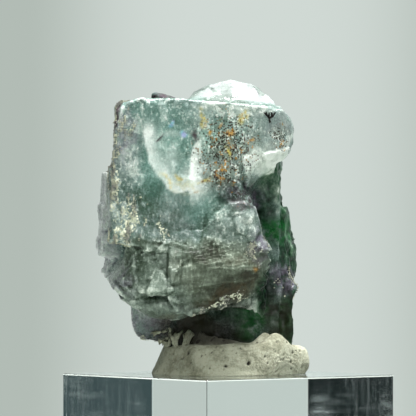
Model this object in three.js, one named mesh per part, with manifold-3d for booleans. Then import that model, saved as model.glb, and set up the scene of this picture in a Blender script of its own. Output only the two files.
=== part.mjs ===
// Fluorite cube cluster, pressed into a lump of mounting putty on a clear acrylic block.
// Millimetres, +Z up. The origin is the middle of the block's underside; -Y is the show side of the cluster.
// Points of the cluster and the putty are measured from the middle of the block's top face.
import * as THREE from "three";
import { ConvexGeometry } from "three/addons/geometries/ConvexGeometry.js";
import { mergeVertices } from "three/addons/utils/BufferGeometryUtils.js";
import Module from "manifold-3d";

const wasm = await Module();
wasm.setup();

// Acrylic block: a square of this side, turned so that one upright edge faces the show side.
const BLOCK_SIDE = 50;
const BLOCK_HEIGHT = 25;
const BLOCK_TURN = 38;
const BLOCK_BEVEL = 0.6;

// Putty: an oval pad whose rim is drawn up into two peaks against the cluster's foot.
const PUTTY_MIDDLE = [0.3, 3.6];
const PUTTY_HALF_WIDTH = 16.2;
const PUTTY_HALF_DEPTH = 15.2;
const PUTTY_RIM = 5.6;
const PUTTY_FLOOR = 4.4;
const PUTTY_PEAKS = [
  { bearing: -44, spread: 17, rise: 3.6 },
  { bearing: -131, spread: 19, rise: 3.2 },
  { bearing: 62, spread: 30, rise: 1.4 },
  { bearing: 160, spread: 24, rise: 1.8 },
];
const PUTTY_UPRIGHT = 0.12;
const PUTTY_AROUND = 60;
const PUTTY_RINGS = 9;
const PUTTY_GAP = 0.3;

// Whole cubes of the cluster: sides, centre, turn in degrees, growth plates and edge blocks. A worn cube's
// corners are broken that many times deeper.
const CUBES = {
  front: { size: [34, 25, 31], centre: [-7.4, -2.6, 42.2], turn: [0, 4.2, 2], plates: 0, blocks: 18 },
  lower: { size: [27, 11, 13], centre: [-8.4, -6.6, 21.6], turn: [0, 4.2, 2], plates: 0, blocks: 4 },
  left: { size: [8, 12, 12], centre: [-22.4, 2, 36.6], turn: [0, 3, 8], plates: 3, blocks: 4 },
  leftLow: { size: [8.4, 11, 11], centre: [-23, 2.6, 30.2], turn: [0, 2, 5], plates: 3, blocks: 4 },
  lowLeft: { size: [8, 13, 9], centre: [-19.1, -7.2, 20.6], turn: [6, 38, 10], plates: 2, blocks: 2 },
  leftFoot: { size: [5.4, 8, 6.4], centre: [-22.8, 3, 23.6], turn: [4, 14, 12], plates: 1, blocks: 1 },
  heel: { size: [9, 13, 9], centre: [-15.2, 1.5, 12], turn: [3, -2, -9], plates: 2, blocks: 1, worn: 4 },
  back: { size: [23.6, 19, 43], centre: [-0.4, 6.5, 24], turn: [0, -1, -2], plates: 9, blocks: 12 },
  backSide: { size: [12, 15, 31], centre: [7.4, 5.5, 19.8], turn: [0, -2.4, -3], plates: 4, blocks: 6 },
  backFoot: { size: [9, 11, 12.6], centre: [9.3, 3, 11.8], turn: [0, -1.5, 5], plates: 2, blocks: 2 },
  backBand: { size: [8, 10, 11], centre: [10.1, 4.6, 22], turn: [0, 2, -7], plates: 2, blocks: 2 },
  backLeft: { size: [15, 13, 15], centre: [-13.5, 9.5, 41.5], turn: [7, -11, 21], plates: 4, blocks: 5 },
  backRight: { size: [11, 10, 11], centre: [4.8, 14.4, 33], turn: [-9, 18, 13], plates: 3, blocks: 3 },
  backLow: { size: [10, 9, 10], centre: [-6.5, 15.4, 18.5], turn: [12, -16, 30], plates: 2, blocks: 3 },
  backMiddle: { size: [8, 7, 8], centre: [-1.5, 16.4, 46], turn: [8, 22, -14], plates: 1, blocks: 2 },
  shoulder: { size: [6.4, 7, 6.4], centre: [7, 9.4, 48.2], turn: [14, 9, 24], plates: 1, blocks: 2 },
  crown: { size: [4.6, 5, 4], centre: [-13.2, -2.4, 56.8], turn: [8, 16, 30], plates: 0, blocks: 0 },
};

// Growth plates lie on the faces; edge blocks wrap an edge and make its outline step.
const PLATE_SIDE = [2.4, 8.5];
const PLATE_RISE = [0.2, 0.55];
const PLATE_ROOT = 0.6;
const BLOCK_LENGTH = [0.1, 0.34];
const BLOCK_THICK = [1.4, 3.6];
const BLOCK_RISE = [-0.1, 0.6];

// Corners break off along the octahedral cleavage, by this share of the cube's shortest side.
const CORNER_BREAK = [0.02, 0.1];
const CUTTER_SIDE = 90;
const CORNERS = [-1, 1].flatMap((x) => [-1, 1].flatMap((y) => [-1, 1].map((z) => [x, y, z])));

// Broken pieces of the front, each the hull of its corner points.
const LOBE = [
  [7, -14.8, 56.3], [11.4, -12.8, 55.8], [13.3, -9, 54.2], [13.9, -7, 51.6], [13.9, -8.4, 49],
  [12.7, -10.4, 46.4], [10.6, -12.6, 44.6], [7, -14.4, 44.2], [3, -15, 48], [10, 3, 55.4],
  [13.2, 0, 53], [12.8, 0, 47.6], [8, 2, 44.6],
];
const TOP = [
  [-9.2, -5, 57], [-8, -9, 57], [-7.2, 1, 60], [-3.6, 2.4, 61.6], [0.7, 1, 62.4], [5, 3, 61.6],
  [7.6, 1.6, 59.8], [9.8, -1, 57.8], [10.4, -6, 56], [8.6, -9.4, 55.9], [-8.4, 7, 51], [9.4, 7, 50],
  [-6, 11, 58], [3, 12.6, 58.4], [8.4, 10.4, 56], [-6, 13, 52], [8, 13, 50],
];
const CAP = [
  [-4.2, -4.4, 58.2], [-2.6, -2.6, 60.8], [1.2, -3.2, 62], [5.4, -2, 61.4], [7, -4.6, 58.6],
  [1, -7, 57.6], [-1, 4, 61.2], [5.2, 4, 60.8],
];
const SHELL = [
  [-5.5, -15.2, 29.4], [-2.6, -15.8, 34.1], [0.2, -15.6, 36.2], [3.8, -15.4, 36.5], [5.9, -14.8, 35.4],
  [6.8, -14, 31.4], [7.4, -13.6, 26], [-1.2, -16.4, 31.4], [3.4, -16.2, 33], [-0.4, -16.6, 27],
  [-5, -15.8, 26], [0, -5, 35.4], [6.2, -5, 33], [7.2, -5, 25.5],
];
const SHELL_STEP = [
  [1.6, -15.4, 34.3], [3.4, -15.6, 35], [5.2, -15.2, 34.4], [6.5, -14.4, 31], [2.2, -16.9, 30],
  [5.8, -15.8, 28.6], [1.4, -16.6, 32.6], [4.6, -16.3, 33.4], [2, -8, 34], [6, -8, 33], [6, -8, 28],
  [2, -8, 29],
];
const STRIATED = [
  [-12, -15.4, 30], [-4, -15.5, 30.6], [7.2, -13.6, 29.4], [8.3, -13.2, 23.4], [6.8, -13.2, 19.6],
  [3.4, -14.2, 16.9], [-1.4, -15, 15.4], [-6.6, -15, 13.6], [-10.6, -14.8, 12.8],
  [-12.2, -16.4, 17], [-12, -17.2, 22.6], [-3, -17.8, 22.6], [3, -16.8, 22.4], [-11, -2, 27],
  [7.4, -2, 26], [6, -3, 19], [0, -3, 14.6], [-10, -3, 13],
];
const WEDGE = [
  [-20.6, -13.8, 28.4], [-11.4, -14.6, 28], [-14.9, -15.8, 23.4], [-18.6, -14.9, 17.4],
  [-11.6, -15.6, 17.6], [-21.2, -12.6, 22.4], [-11.4, -15.4, 24], [-20, -3, 27], [-11.4, -3, 27],
  [-19, -3, 17.6], [-11.4, -3, 17.4],
];
const SPUR = [
  [-15, -15.6, 23.4], [-16.9, -17.2, 17.9], [-11.4, -17.3, 18.2], [-16.4, -15.6, 17], [-11.8, -15.8, 17],
  [-15, -11, 22], [-17, -11, 17.2], [-11.4, -11, 17.2],
];
const LEDGE = [
  [-18.6, -15.6, 27.9], [-12.4, -16, 28], [-6.4, -16, 28.2], [-17.6, -15.9, 26.2],
  [-7.4, -16.3, 26.6], [-18.4, -13, 32.4], [-6.6, -14, 33], [-18, -9, 25.4], [-7, -9, 25.6],
];
const SHARD = [
  [3.4, -10.4, 19.4], [7.8, -9.6, 19], [4.4, -9.6, 14.8], [7.4, -8.4, 11.7], [8, -7.6, 13.6],
  [4, -5, 18.4], [8, -5, 17],
];
const LEFT_CHIP = [
  [-25, -14.6, 44], [-24.6, -13, 34], [-20.6, -15.5, 30], [-21.4, -15.7, 41], [-24.6, -8, 44],
  [-25.2, -8, 33], [-21, -8, 29.6], [-23.4, -15.2, 36],
];

// Hulls cut away: the front cube's broken right flank, its turned upper edge, a notch and its worn top,
// and the lobe's underside.
const FLANK_CUT = [
  [4.4, -19, 40.6], [6.7, -19, 43], [10.6, -19, 44], [14, -19, 46.6], [24, -19, 47], [24, -19, 22],
  [7.6, -19, 22], [5, -2.5, 38.5], [8.6, -2.5, 42], [24, -2.5, 44], [24, -2.5, 22], [7.4, -2.5, 22],
];
const EDGE_CUT = [
  [6.8, -15.4, 60], [13.6, -9, 60], [20, -9, 60], [20, -20, 60], [6.8, -20, 60], [6.2, -15.4, 40],
  [12.6, -9, 40], [20, -9, 40], [20, -20, 40], [6.2, -20, 40],
];
const OVERHANG_CUT = [
  [1.6, -15.6, 42.2], [7.6, -15.6, 47.2], [15.4, -12.6, 50.8], [4.2, -11, 39], [9, -9.6, 42.8],
  [15.4, -7, 45.4], [1.6, -24, 34], [7.6, -24, 47], [15.4, -24, 50.6], [15.4, -24, 34],
];
const NOTCH_CUT = [
  [2.6, -19, 39.4], [4.8, -19, 40.8], [8, -19, 40], [6.6, -19, 35.6], [3.8, -19, 37], [5, -9, 39],
  [8, -9, 39], [7, -9, 36],
];

const TOP_CUT = [
  [-18, -20, 58], [-6, -20, 57.9], [-18, 12, 58], [-6, 12, 57.9], [-18, -20, 66], [-6, -20, 66],
  [-18, 12, 66], [-6, 12, 66],
];
const CORNER_CUT = [
  [-30, -20, 55.6], [-18, -20, 58], [-30, 12, 55.6], [-18, 12, 58], [-30, -20, 66], [-18, -20, 66],
  [-30, 12, 66], [-18, 12, 66],
];

// Glassy bulge below the wedge, and the row of broken lumps along the lower edge of the striated piece.
const BULGE = { centre: [-12.6, -9, 14.7], radii: [6.8, 6.2, 3.2], points: 64 };
const RIM_PATH = [
  [-8.4, -14.4, 13.2], [-4.6, -14.8, 14.2], [-1, -14.6, 15.2], [2.4, -13.8, 16.6],
  [5.2, -12.6, 18.2], [7.2, -12.4, 21], [7.8, -13, 24.4], [7.4, -13.8, 28],
];
const RIM_LUMPS = 22;
const RIM_RADIUS = [0.6, 2];
const LUMP_POINTS = 14;

// Cleavage layers of the striated piece: tilted slices, each pushed in or out a little.
const LAYER_PITCH = 1.05;
const LAYER_SHIFT = { x: [-0.35, 0.35], y: [-0.55, 0.35] };
const LAYER_TILT = -7;
const LAYER_SPAN = { top: 29, bottom: 12 };

// Repeatable random numbers between low and high.
let state = 20117;
function random([low, high]) {
  state = (state + 0x6d2b79f5) | 0;
  let bits = Math.imul(state ^ (state >>> 15), 1 | state);
  bits = (bits + Math.imul(bits ^ (bits >>> 7), 61 | bits)) ^ bits;
  return low + ((high - low) * ((bits ^ (bits >>> 14)) >>> 0)) / 2 ** 32;
}

function placed(position, turn = [0, 0, 0]) {
  const euler = new THREE.Euler(...turn.map(THREE.MathUtils.degToRad));
  const quaternion = new THREE.Quaternion().setFromEuler(euler);
  return new THREE.Matrix4().compose(new THREE.Vector3(...position), quaternion, new THREE.Vector3(1, 1, 1));
}

function solidFrom(geometry, matrix = new THREE.Matrix4()) {
  const bare = geometry.clone().applyMatrix4(matrix);
  bare.deleteAttribute("normal");
  bare.deleteAttribute("uv");
  const merged = mergeVertices(bare, 1e-4);
  return new wasm.Manifold(
    new wasm.Mesh({
      numProp: 3,
      vertProperties: new Float32Array(merged.attributes.position.array),
      triVerts: new Uint32Array(merged.index.array),
    }),
  );
}

function geometryFrom(solid) {
  const { vertProperties, triVerts } = solid.getMesh();
  const indexed = new THREE.BufferGeometry();
  indexed.setAttribute("position", new THREE.BufferAttribute(vertProperties, 3));
  indexed.setIndex(new THREE.BufferAttribute(triVerts, 1));
  const flat = indexed.toNonIndexed();
  flat.computeVertexNormals();
  return flat;
}

function hull(points, shift = [0, 0, 0]) {
  const corners = points.map((point) => new THREE.Vector3(...point));
  return solidFrom(new ConvexGeometry(corners), placed(shift));
}

// A faceted lump: the hull of points spread evenly over an ellipsoid and moved in or out a little.
function lump({ centre, radii, points }) {
  const golden = Math.PI * (3 - Math.sqrt(5));
  const corners = Array.from({ length: points }, (_, i) => {
    const height = 1 - (2 * (i + 0.5)) / points;
    const across = Math.sqrt(1 - height ** 2);
    const angle = i * golden + random([-0.25, 0.25]);
    const reach = random([0.88, 1]);
    const direction = [across * Math.cos(angle), across * Math.sin(angle), height];
    return direction.map((unit, k) => centre[k] + unit * reach * radii[k]);
  });
  return hull(corners);
}

function plainCube(cube, grow = 0) {
  const sides = cube.size.map((side) => side + 2 * grow);
  return solidFrom(new THREE.BoxGeometry(...sides), placed(cube.centre, cube.turn));
}

// One thin growth plate on a random face of the cube, kept inside the face's edges.
function growthPlate(cube) {
  const axis = Math.floor(random([0, 3]));
  const side = random([0, 1]) < 0.5 ? -1 : 1;
  const rise = random(PLATE_RISE);
  const size = cube.size.map((length) => Math.min(random(PLATE_SIDE), length * 0.7));
  const place = cube.size.map((length, k) => random([-0.5, 0.5]) * (length - size[k] - 0.6));
  size[axis] = rise + PLATE_ROOT;
  place[axis] = side * (cube.size[axis] / 2 + (rise - PLATE_ROOT) / 2);
  return solidFrom(new THREE.BoxGeometry(...size), placed(cube.centre, cube.turn).multiply(placed(place)));
}

// One block along a random edge of the cube, standing a little proud of both faces that meet there.
function edgeBlock(cube) {
  const along = Math.floor(random([0, 3]));
  const size = cube.size.map((length) => Math.min(random(BLOCK_THICK), length / 2));
  size[along] = cube.size[along] * random(BLOCK_LENGTH);
  const place = cube.size.map((length, k) => {
    const side = random([0, 1]) < 0.5 ? -1 : 1;
    return side * ((length - size[k]) / 2 + random(BLOCK_RISE));
  });
  place[along] = random([-0.5, 0.5]) * (cube.size[along] - size[along]);
  return solidFrom(new THREE.BoxGeometry(...size), placed(cube.centre, cube.turn).multiply(placed(place)));
}

// Half space beyond an octahedral plane, a given depth below the cube's corner in that direction.
function cornerCutter(cube, corner, depth) {
  const normal = new THREE.Vector3(...corner).normalize();
  const tip = new THREE.Vector3(...corner.map((sign, k) => (sign * cube.size[k]) / 2));
  const reach = tip.dot(normal) - depth + CUTTER_SIDE / 2;
  const local = new THREE.Matrix4().compose(
    normal.clone().multiplyScalar(reach),
    new THREE.Quaternion().setFromUnitVectors(new THREE.Vector3(0, 0, 1), normal),
    new THREE.Vector3(1, 1, 1),
  );
  const box = new THREE.BoxGeometry(CUTTER_SIDE, CUTTER_SIDE, CUTTER_SIDE);
  return solidFrom(box, placed(cube.centre, cube.turn).multiply(local));
}

// A cube as it grew: stepped edges, plates on its faces and a broken tip at each corner.
function grownCube(cube) {
  let solid = plainCube(cube);
  for (let i = 0; i < cube.blocks; i += 1) solid = solid.add(edgeBlock(cube));
  for (let i = 0; i < cube.plates; i += 1) solid = solid.add(growthPlate(cube));
  const shortest = Math.min(...cube.size);
  for (const corner of CORNERS) {
    const depth = shortest * random(CORNER_BREAK) * (cube.worn ?? 1);
    solid = solid.subtract(cornerCutter(cube, corner, depth));
  }
  return solid;
}

// Slices of the striated piece, shifted one by one so that its broken front is stepped.
function striatedFront() {
  let solid = hull(STRIATED);
  const { top, bottom } = LAYER_SPAN;
  const slab = new THREE.BoxGeometry(CUTTER_SIDE, CUTTER_SIDE, LAYER_PITCH);
  for (let level = bottom; level < top; level += LAYER_PITCH) {
    const shifted = hull(STRIATED, [random(LAYER_SHIFT.x), random(LAYER_SHIFT.y), 0]);
    const tilt = [random([-2, 2]), LAYER_TILT + random([-1.5, 1.5]), 0];
    solid = solid.add(shifted.intersect(solidFrom(slab, placed([0, 0, level], tilt))));
  }
  return solid;
}

// Broken lumps in a row along the rim's path.
function brokenRim() {
  const path = new THREE.CatmullRomCurve3(RIM_PATH.map((point) => new THREE.Vector3(...point)));
  return Array.from({ length: RIM_LUMPS }, (_, i) => {
    const radius = random(RIM_RADIUS);
    const centre = path.getPointAt((i + random([0.2, 0.8])) / RIM_LUMPS).toArray();
    return lump({ centre, radii: [radius * 1.3, radius, radius * random([0.4, 0.8])], points: LUMP_POINTS });
  });
}

function fluoriteCluster() {
  const { front, ...others } = CUBES;
  const joined = (solid, piece) => solid.add(piece);
  const cuts = [FLANK_CUT, EDGE_CUT, NOTCH_CUT, TOP_CUT, CORNER_CUT].map((points) => hull(points));
  const flank = cuts.reduce((solid, cut) => solid.subtract(cut), grownCube(front).add(hull(LEFT_CHIP)));
  const face = flank.add(hull(LOBE)).subtract(hull(OVERHANG_CUT));
  const broken = [TOP, CAP, SHELL, SHELL_STEP, WEDGE, SPUR, LEDGE, SHARD].map((points) => hull(points));
  broken.push(striatedFront(), lump(BULGE), ...brokenRim());
  const grown = Object.values(others).map(grownCube);
  return outerBody([...broken, ...grown].reduce(joined, face));
}

// The largest closed surface alone, without loose chips or pockets sealed inside.
function outerBody(solid) {
  return solid.decompose().reduce((kept, body) => (body.volume() > kept.volume() ? body : kept));
}

// Height of the putty's crest at a bearing, in degrees from +X towards +Y.
function crestHeight(bearing) {
  return PUTTY_PEAKS.reduce((height, peak) => {
    const away = ((bearing - peak.bearing + 540) % 360) - 180;
    return height + peak.rise * Math.exp(-((away / peak.spread) ** 2));
  }, PUTTY_RIM);
}

// Pad made of rings: up its bulging side, over the crest and down to the floor of the seat.
function puttyPad() {
  const points = [];
  const faces = [];
  for (let ring = 0; ring <= PUTTY_RINGS; ring += 1) {
    const up = ring / PUTTY_RINGS;
    for (let step = 0; step < PUTTY_AROUND; step += 1) {
      const angle = (2 * Math.PI * step) / PUTTY_AROUND;
      const uneven = 1 + 0.03 * Math.sin(3 * angle + 0.6) + 0.02 * Math.sin(7 * angle + 2.1);
      const crest = 0.6 + 0.16 * Math.cos(angle) ** 2;
      const inward = Math.max(0, up * (1 + PUTTY_UPRIGHT) - PUTTY_UPRIGHT);
      const radius = uneven * (crest + (1 - crest) * Math.cos((Math.PI / 2) * inward) ** 0.8);
      points.push(
        PUTTY_MIDDLE[0] + PUTTY_HALF_WIDTH * radius * Math.cos(angle),
        PUTTY_MIDDLE[1] + PUTTY_HALF_DEPTH * radius * Math.sin(angle),
        crestHeight(THREE.MathUtils.radToDeg(angle)) * Math.sin((Math.PI / 2) * up) ** 0.9,
      );
    }
  }
  const foot = points.length / 3;
  points.push(...PUTTY_MIDDLE, 0, ...PUTTY_MIDDLE, PUTTY_FLOOR);
  const last = PUTTY_RINGS * PUTTY_AROUND;
  for (let step = 0; step < PUTTY_AROUND; step += 1) {
    const next = (step + 1) % PUTTY_AROUND;
    faces.push(foot, next, step, foot + 1, last + step, last + next);
    for (let here = 0; here < last; here += PUTTY_AROUND) {
      const above = here + PUTTY_AROUND;
      faces.push(here + step, here + next, above + next, here + step, above + next, above + step);
    }
  }
  const geometry = new THREE.BufferGeometry();
  geometry.setAttribute("position", new THREE.Float32BufferAttribute(points, 3));
  geometry.setIndex(faces);
  return solidFrom(geometry);
}

// The pad, with the seat that the cluster's foot left in it.
function putty() {
  let pad = puttyPad();
  const { back, backSide, backFoot, heel, backLow } = CUBES;
  for (const cube of [back, backSide, backFoot, heel, backLow]) {
    pad = pad.subtract(plainCube(cube, PUTTY_GAP + PLATE_RISE[1]));
  }
  return outerBody(pad);
}

function acrylicBlock() {
  const half = BLOCK_SIDE / 2 - BLOCK_BEVEL;
  const square = new THREE.Shape();
  square.moveTo(-half, -half).lineTo(half, -half).lineTo(half, half).lineTo(-half, half).closePath();
  const block = new THREE.ExtrudeGeometry(square, {
    depth: BLOCK_HEIGHT - 2 * BLOCK_BEVEL,
    bevelThickness: BLOCK_BEVEL,
    bevelSize: BLOCK_BEVEL,
    bevelSegments: 3,
  });
  return block.translate(0, 0, BLOCK_BEVEL);
}

function named(name, geometry, material) {
  const mesh = new THREE.Mesh(geometry, new THREE.MeshStandardMaterial(material));
  mesh.name = name;
  return mesh;
}

const block = named("acrylic_block", acrylicBlock(), {
  color: 0xdfe8e4,
  roughness: 0.05,
  metalness: 0,
  transparent: true,
  opacity: 0.3,
});
block.rotation.z = THREE.MathUtils.degToRad(BLOCK_TURN);

const specimen = new THREE.Group();
specimen.position.z = BLOCK_HEIGHT;
const puttyFinish = { color: 0xb9b9a4, roughness: 0.9, metalness: 0 };
const fluoriteFinish = { color: 0x7fa394, roughness: 0.2, metalness: 0 };
specimen.add(
  named("putty", geometryFrom(putty()), puttyFinish),
  named("fluorite_cluster", geometryFrom(fluoriteCluster()), fluoriteFinish),
);

const part = new THREE.Group();
part.add(block, specimen);

export default part;
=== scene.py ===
"""Looks of a fluorite cube cluster that stands in mounting putty on a clear acrylic block.

Meshes are in metres. Sizes of the cluster's markings are in millimetres, measured from the middle of
the block's top face: x to the right, y away from the show side, z up. FRONT is the y of the large cube's
show face. RAY_START is a y in metres, well in front of the object.
"""

import logging
import math
from dataclasses import dataclass, field
from enum import Enum
from typing import Any

import bmesh
import bpy
import numpy as np
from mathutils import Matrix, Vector
from mathutils.bvhtree import BVHTree

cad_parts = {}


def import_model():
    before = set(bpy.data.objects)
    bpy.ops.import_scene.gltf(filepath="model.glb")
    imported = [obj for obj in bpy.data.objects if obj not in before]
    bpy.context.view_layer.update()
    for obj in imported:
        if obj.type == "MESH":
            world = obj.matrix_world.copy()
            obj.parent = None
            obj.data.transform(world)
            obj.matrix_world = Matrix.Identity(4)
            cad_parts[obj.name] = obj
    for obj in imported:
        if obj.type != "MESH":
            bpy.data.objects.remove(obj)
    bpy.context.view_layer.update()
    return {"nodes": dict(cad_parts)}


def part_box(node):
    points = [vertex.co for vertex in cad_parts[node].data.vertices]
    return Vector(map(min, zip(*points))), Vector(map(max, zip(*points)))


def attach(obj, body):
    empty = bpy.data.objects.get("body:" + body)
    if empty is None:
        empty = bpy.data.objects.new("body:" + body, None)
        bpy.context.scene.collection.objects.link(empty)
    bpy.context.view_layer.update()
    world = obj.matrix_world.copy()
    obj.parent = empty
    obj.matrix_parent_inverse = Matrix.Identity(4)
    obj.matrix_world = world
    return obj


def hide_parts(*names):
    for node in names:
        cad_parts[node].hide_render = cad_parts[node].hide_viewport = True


LOG = logging.getLogger("fluorite")
MM = 0.001
BODY = "root"
FRONT = -15.5
RAY_START = -0.1

Colour = tuple[float, float, float]
Stops = tuple[tuple[float, Colour], ...]
Place = tuple[float, float, float]
Peaks = tuple[Place, ...]


def tone(red: int, green: int, blue: int) -> Colour:
    """Linear colour of an sRGB colour given as three numbers from 0 to 255.

    Args:
        red: Red share.
        green: Green share.
        blue: Blue share.

    Returns:
        The same colour in linear light.
    """

    def linear(value: int) -> float:
        """One channel, by the sRGB curve."""
        share = value / 255
        return share / 12.92 if share <= 0.04045 else ((share + 0.055) / 1.055) ** 2.4

    return linear(red), linear(green), linear(blue)


def opaque(value: Any) -> Any:
    """A colour with full alpha; anything else as it is."""
    return (*value, 1.0) if isinstance(value, tuple) else value


# Numbers spread over space


def cell_random(cells: np.ndarray, seed: int) -> np.ndarray:
    """Fixed random number from 0 to 1 for each whole-number cell.

    The cell's three numbers and the seed are multiplied by large odd numbers and joined bit by bit. The
    result is then mixed twice by a shift and a product, and its low bits are taken.

    Args:
        cells: Integer cells, shape (..., 3).
        seed: Picks one of many fields.

    Returns:
        Numbers of shape (...).
    """
    x, y, z = (cells[..., k].astype(np.int64) for k in range(3))
    mixed = (x * 73856093) ^ (y * 19349663) ^ (z * 83492791) ^ (seed * 40503 + 77)
    mixed = ((mixed ^ (mixed >> 13)) * 1274126177) & 0xFFFFFFFF
    mixed = ((mixed ^ (mixed >> 15)) * 2246822519) & 0xFFFFFFFF
    return ((mixed ^ (mixed >> 16)) & 0xFFFFFF) / 0xFFFFFF


def cell_vectors(cells: np.ndarray, seed: int) -> np.ndarray:
    """Three fixed random numbers from 0 to 1 for each whole-number cell.

    Args:
        cells: Integer cells, shape (n, 3).
        seed: Picks the first of three fields that follow each other.

    Returns:
        Numbers of shape (n, 3).
    """
    return np.stack([cell_random(cells, seed + k) for k in range(3)], axis=1)


def smooth_noise(points: np.ndarray, size: float, seed: int) -> np.ndarray:
    """Value noise from -1 to 1: random numbers at the corners of cells, blended smoothly between them.

    Args:
        points: Places, shape (n, 3).
        size: Side of one cell.
        seed: Picks one of many fields.

    Returns:
        Numbers of shape (n,).
    """
    scaled = points / size
    base = np.floor(scaled)
    part = scaled - base
    part = part * part * (3 - 2 * part)
    total = np.zeros(len(points))
    for corner in np.ndindex(2, 2, 2):
        step = np.array(corner)
        weight = np.prod(np.where(step == 1, part, 1 - part), axis=1)
        total += weight * cell_random(base + step, seed)
    return total * 2 - 1


def layered_noise(points: np.ndarray, size: float, seed: int, layers: int = 3) -> np.ndarray:
    """Sum of value noises, each with half the cell and half the height of the one before.

    Args:
        points: Places, shape (n, 3).
        size: Cell of the coarsest noise.
        seed: Picks one of many fields.
        layers: Number of noises.

    Returns:
        Numbers of about -1 to 1, shape (n,).
    """
    noises = [smooth_noise(points, size / 2**k, seed + 31 * k) / 2**k for k in range(layers)]
    return np.sum(noises, axis=0)


def noise_vectors(points: np.ndarray, size: float, seed: int, gap: int = 1, layers: int = 3) -> np.ndarray:
    """Three layered noises, as one vector for each place.

    Args:
        points: Places, shape (n, 3).
        size: Cell of the coarsest noise.
        seed: Picks the first of three fields.
        gap: Step from one field's seed to the next.
        layers: Number of noises in each.

    Returns:
        Vectors, shape (n, 3).
    """
    return np.stack([layered_noise(points, size, seed + gap * k, layers) for k in range(3)], axis=1)


def cell_distance(points: np.ndarray, size: float, seed: int) -> np.ndarray:
    """Distance to the nearest of many scattered points, one in each cell, as a share of the cell.

    Args:
        points: Places, shape (n, 3).
        size: Side of one cell.
        seed: Picks one of many fields.

    Returns:
        Numbers from 0 to about 1, shape (n,).
    """
    scaled = points / size
    base = np.floor(scaled)
    nearest = np.full(len(points), np.inf)
    for offset in np.ndindex(3, 3, 3):
        cell = base + np.array(offset) - 1
        centre = cell + cell_vectors(cell, seed)
        nearest = np.minimum(nearest, np.linalg.norm(centre - scaled, axis=1))
    return nearest


def cell_planes(points: np.ndarray, size: float, seed: int, slope: float) -> np.ndarray:
    """Relief of flat, tilted facets: each place takes the plane of the nearest of many scattered points.

    Args:
        points: Places, shape (n, 3).
        size: Side of one cell.
        seed: Picks one of many fields.
        slope: How much a plane rises across one cell, at most.

    Returns:
        Heights of about -0.5 to 0.5 plus the slope, shape (n,).
    """
    scaled = points / size
    base = np.floor(scaled)
    nearest = np.full(len(points), np.inf)
    height = np.zeros(len(points))
    for offset in np.ndindex(3, 3, 3):
        cell = base + np.array(offset) - 1
        lean = cell_vectors(cell, seed + 5) - 0.5
        gap = scaled - cell - cell_vectors(cell, seed)
        distance = np.linalg.norm(gap, axis=1)
        plane = cell_random(cell, seed + 9) - 0.5 + 2 * slope * np.sum(lean * gap, axis=1)
        height = np.where(distance < nearest, plane, height)
        nearest = np.minimum(nearest, distance)
    return height


def fade(values: np.ndarray, low: float, high: float) -> np.ndarray:
    """Smooth step from 0 at low to 1 at high.

    Args:
        values: Numbers of any shape.
        low: Where the step starts.
        high: Where the step ends.

    Returns:
        Numbers from 0 to 1.
    """
    share = np.clip((values - low) / (high - low), 0, 1)
    return share * share * (3 - 2 * share)


def turn_y(points: np.ndarray, degrees: float) -> np.ndarray:
    """Points turned about the y axis.

    Args:
        points: Places, shape (n, 3).
        degrees: Angle that carries +z towards +x.

    Returns:
        The turned places.
    """
    angle = math.radians(degrees)
    sine, cosine = math.sin(angle), math.cos(angle)
    x, y, z = points.T
    return np.stack([x * cosine + z * sine, y, z * cosine - x * sine], axis=1)


# Shader networks written as expressions


class Socket:
    """An output socket whose arithmetic adds Math nodes to its tree."""

    def __init__(self, graph: "Graph", link: bpy.types.NodeSocket) -> None:
        """Wraps one output socket of the graph's tree."""
        self.graph = graph
        self.link = link

    def _math(self, operation: str, first: Any, second: Any, clamp: bool = False) -> "Socket":
        """A Math node on two values."""
        settings = {"operation": operation, "use_clamp": clamp}
        return self.graph.node("ShaderNodeMath", settings, {0: first, 1: second})

    def __add__(self, other: Any) -> "Socket":
        """Sum."""
        return self._math("ADD", self, other)

    def __radd__(self, other: Any) -> "Socket":
        """Sum, from the right."""
        return self._math("ADD", other, self)

    def __sub__(self, other: Any) -> "Socket":
        """Difference."""
        return self._math("SUBTRACT", self, other)

    def __rsub__(self, other: Any) -> "Socket":
        """Difference, from the right."""
        return self._math("SUBTRACT", other, self)

    def __mul__(self, other: Any) -> "Socket":
        """Product."""
        return self._math("MULTIPLY", self, other)

    def __rmul__(self, other: Any) -> "Socket":
        """Product, from the right."""
        return self._math("MULTIPLY", other, self)

    def __lt__(self, other: Any) -> "Socket":
        """1 where this value is the smaller one, else 0."""
        return self._math("LESS_THAN", self, other)

    def __gt__(self, other: Any) -> "Socket":
        """1 where this value is the larger one, else 0; also a number < this value."""
        return self._math("GREATER_THAN", self, other)

    def larger(self, other: Any) -> "Socket":
        """The larger of two values."""
        return self._math("MAXIMUM", self, other)

    def limited(self) -> "Socket":
        """The value, kept from 0 to 1."""
        return self._math("ADD", self, 0.0, clamp=True)

    def step(self, low: float, high: float) -> "Socket":
        """Smooth step from 0 at low to 1 at high.

        Args:
            low: Where the step starts.
            high: Where the step ends.

        Returns:
            The stepped value.
        """
        values = {"Value": self, "From Min": low, "From Max": high}
        return self.graph.node("ShaderNodeMapRange", {"interpolation_type": "SMOOTHSTEP"}, values)


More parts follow.
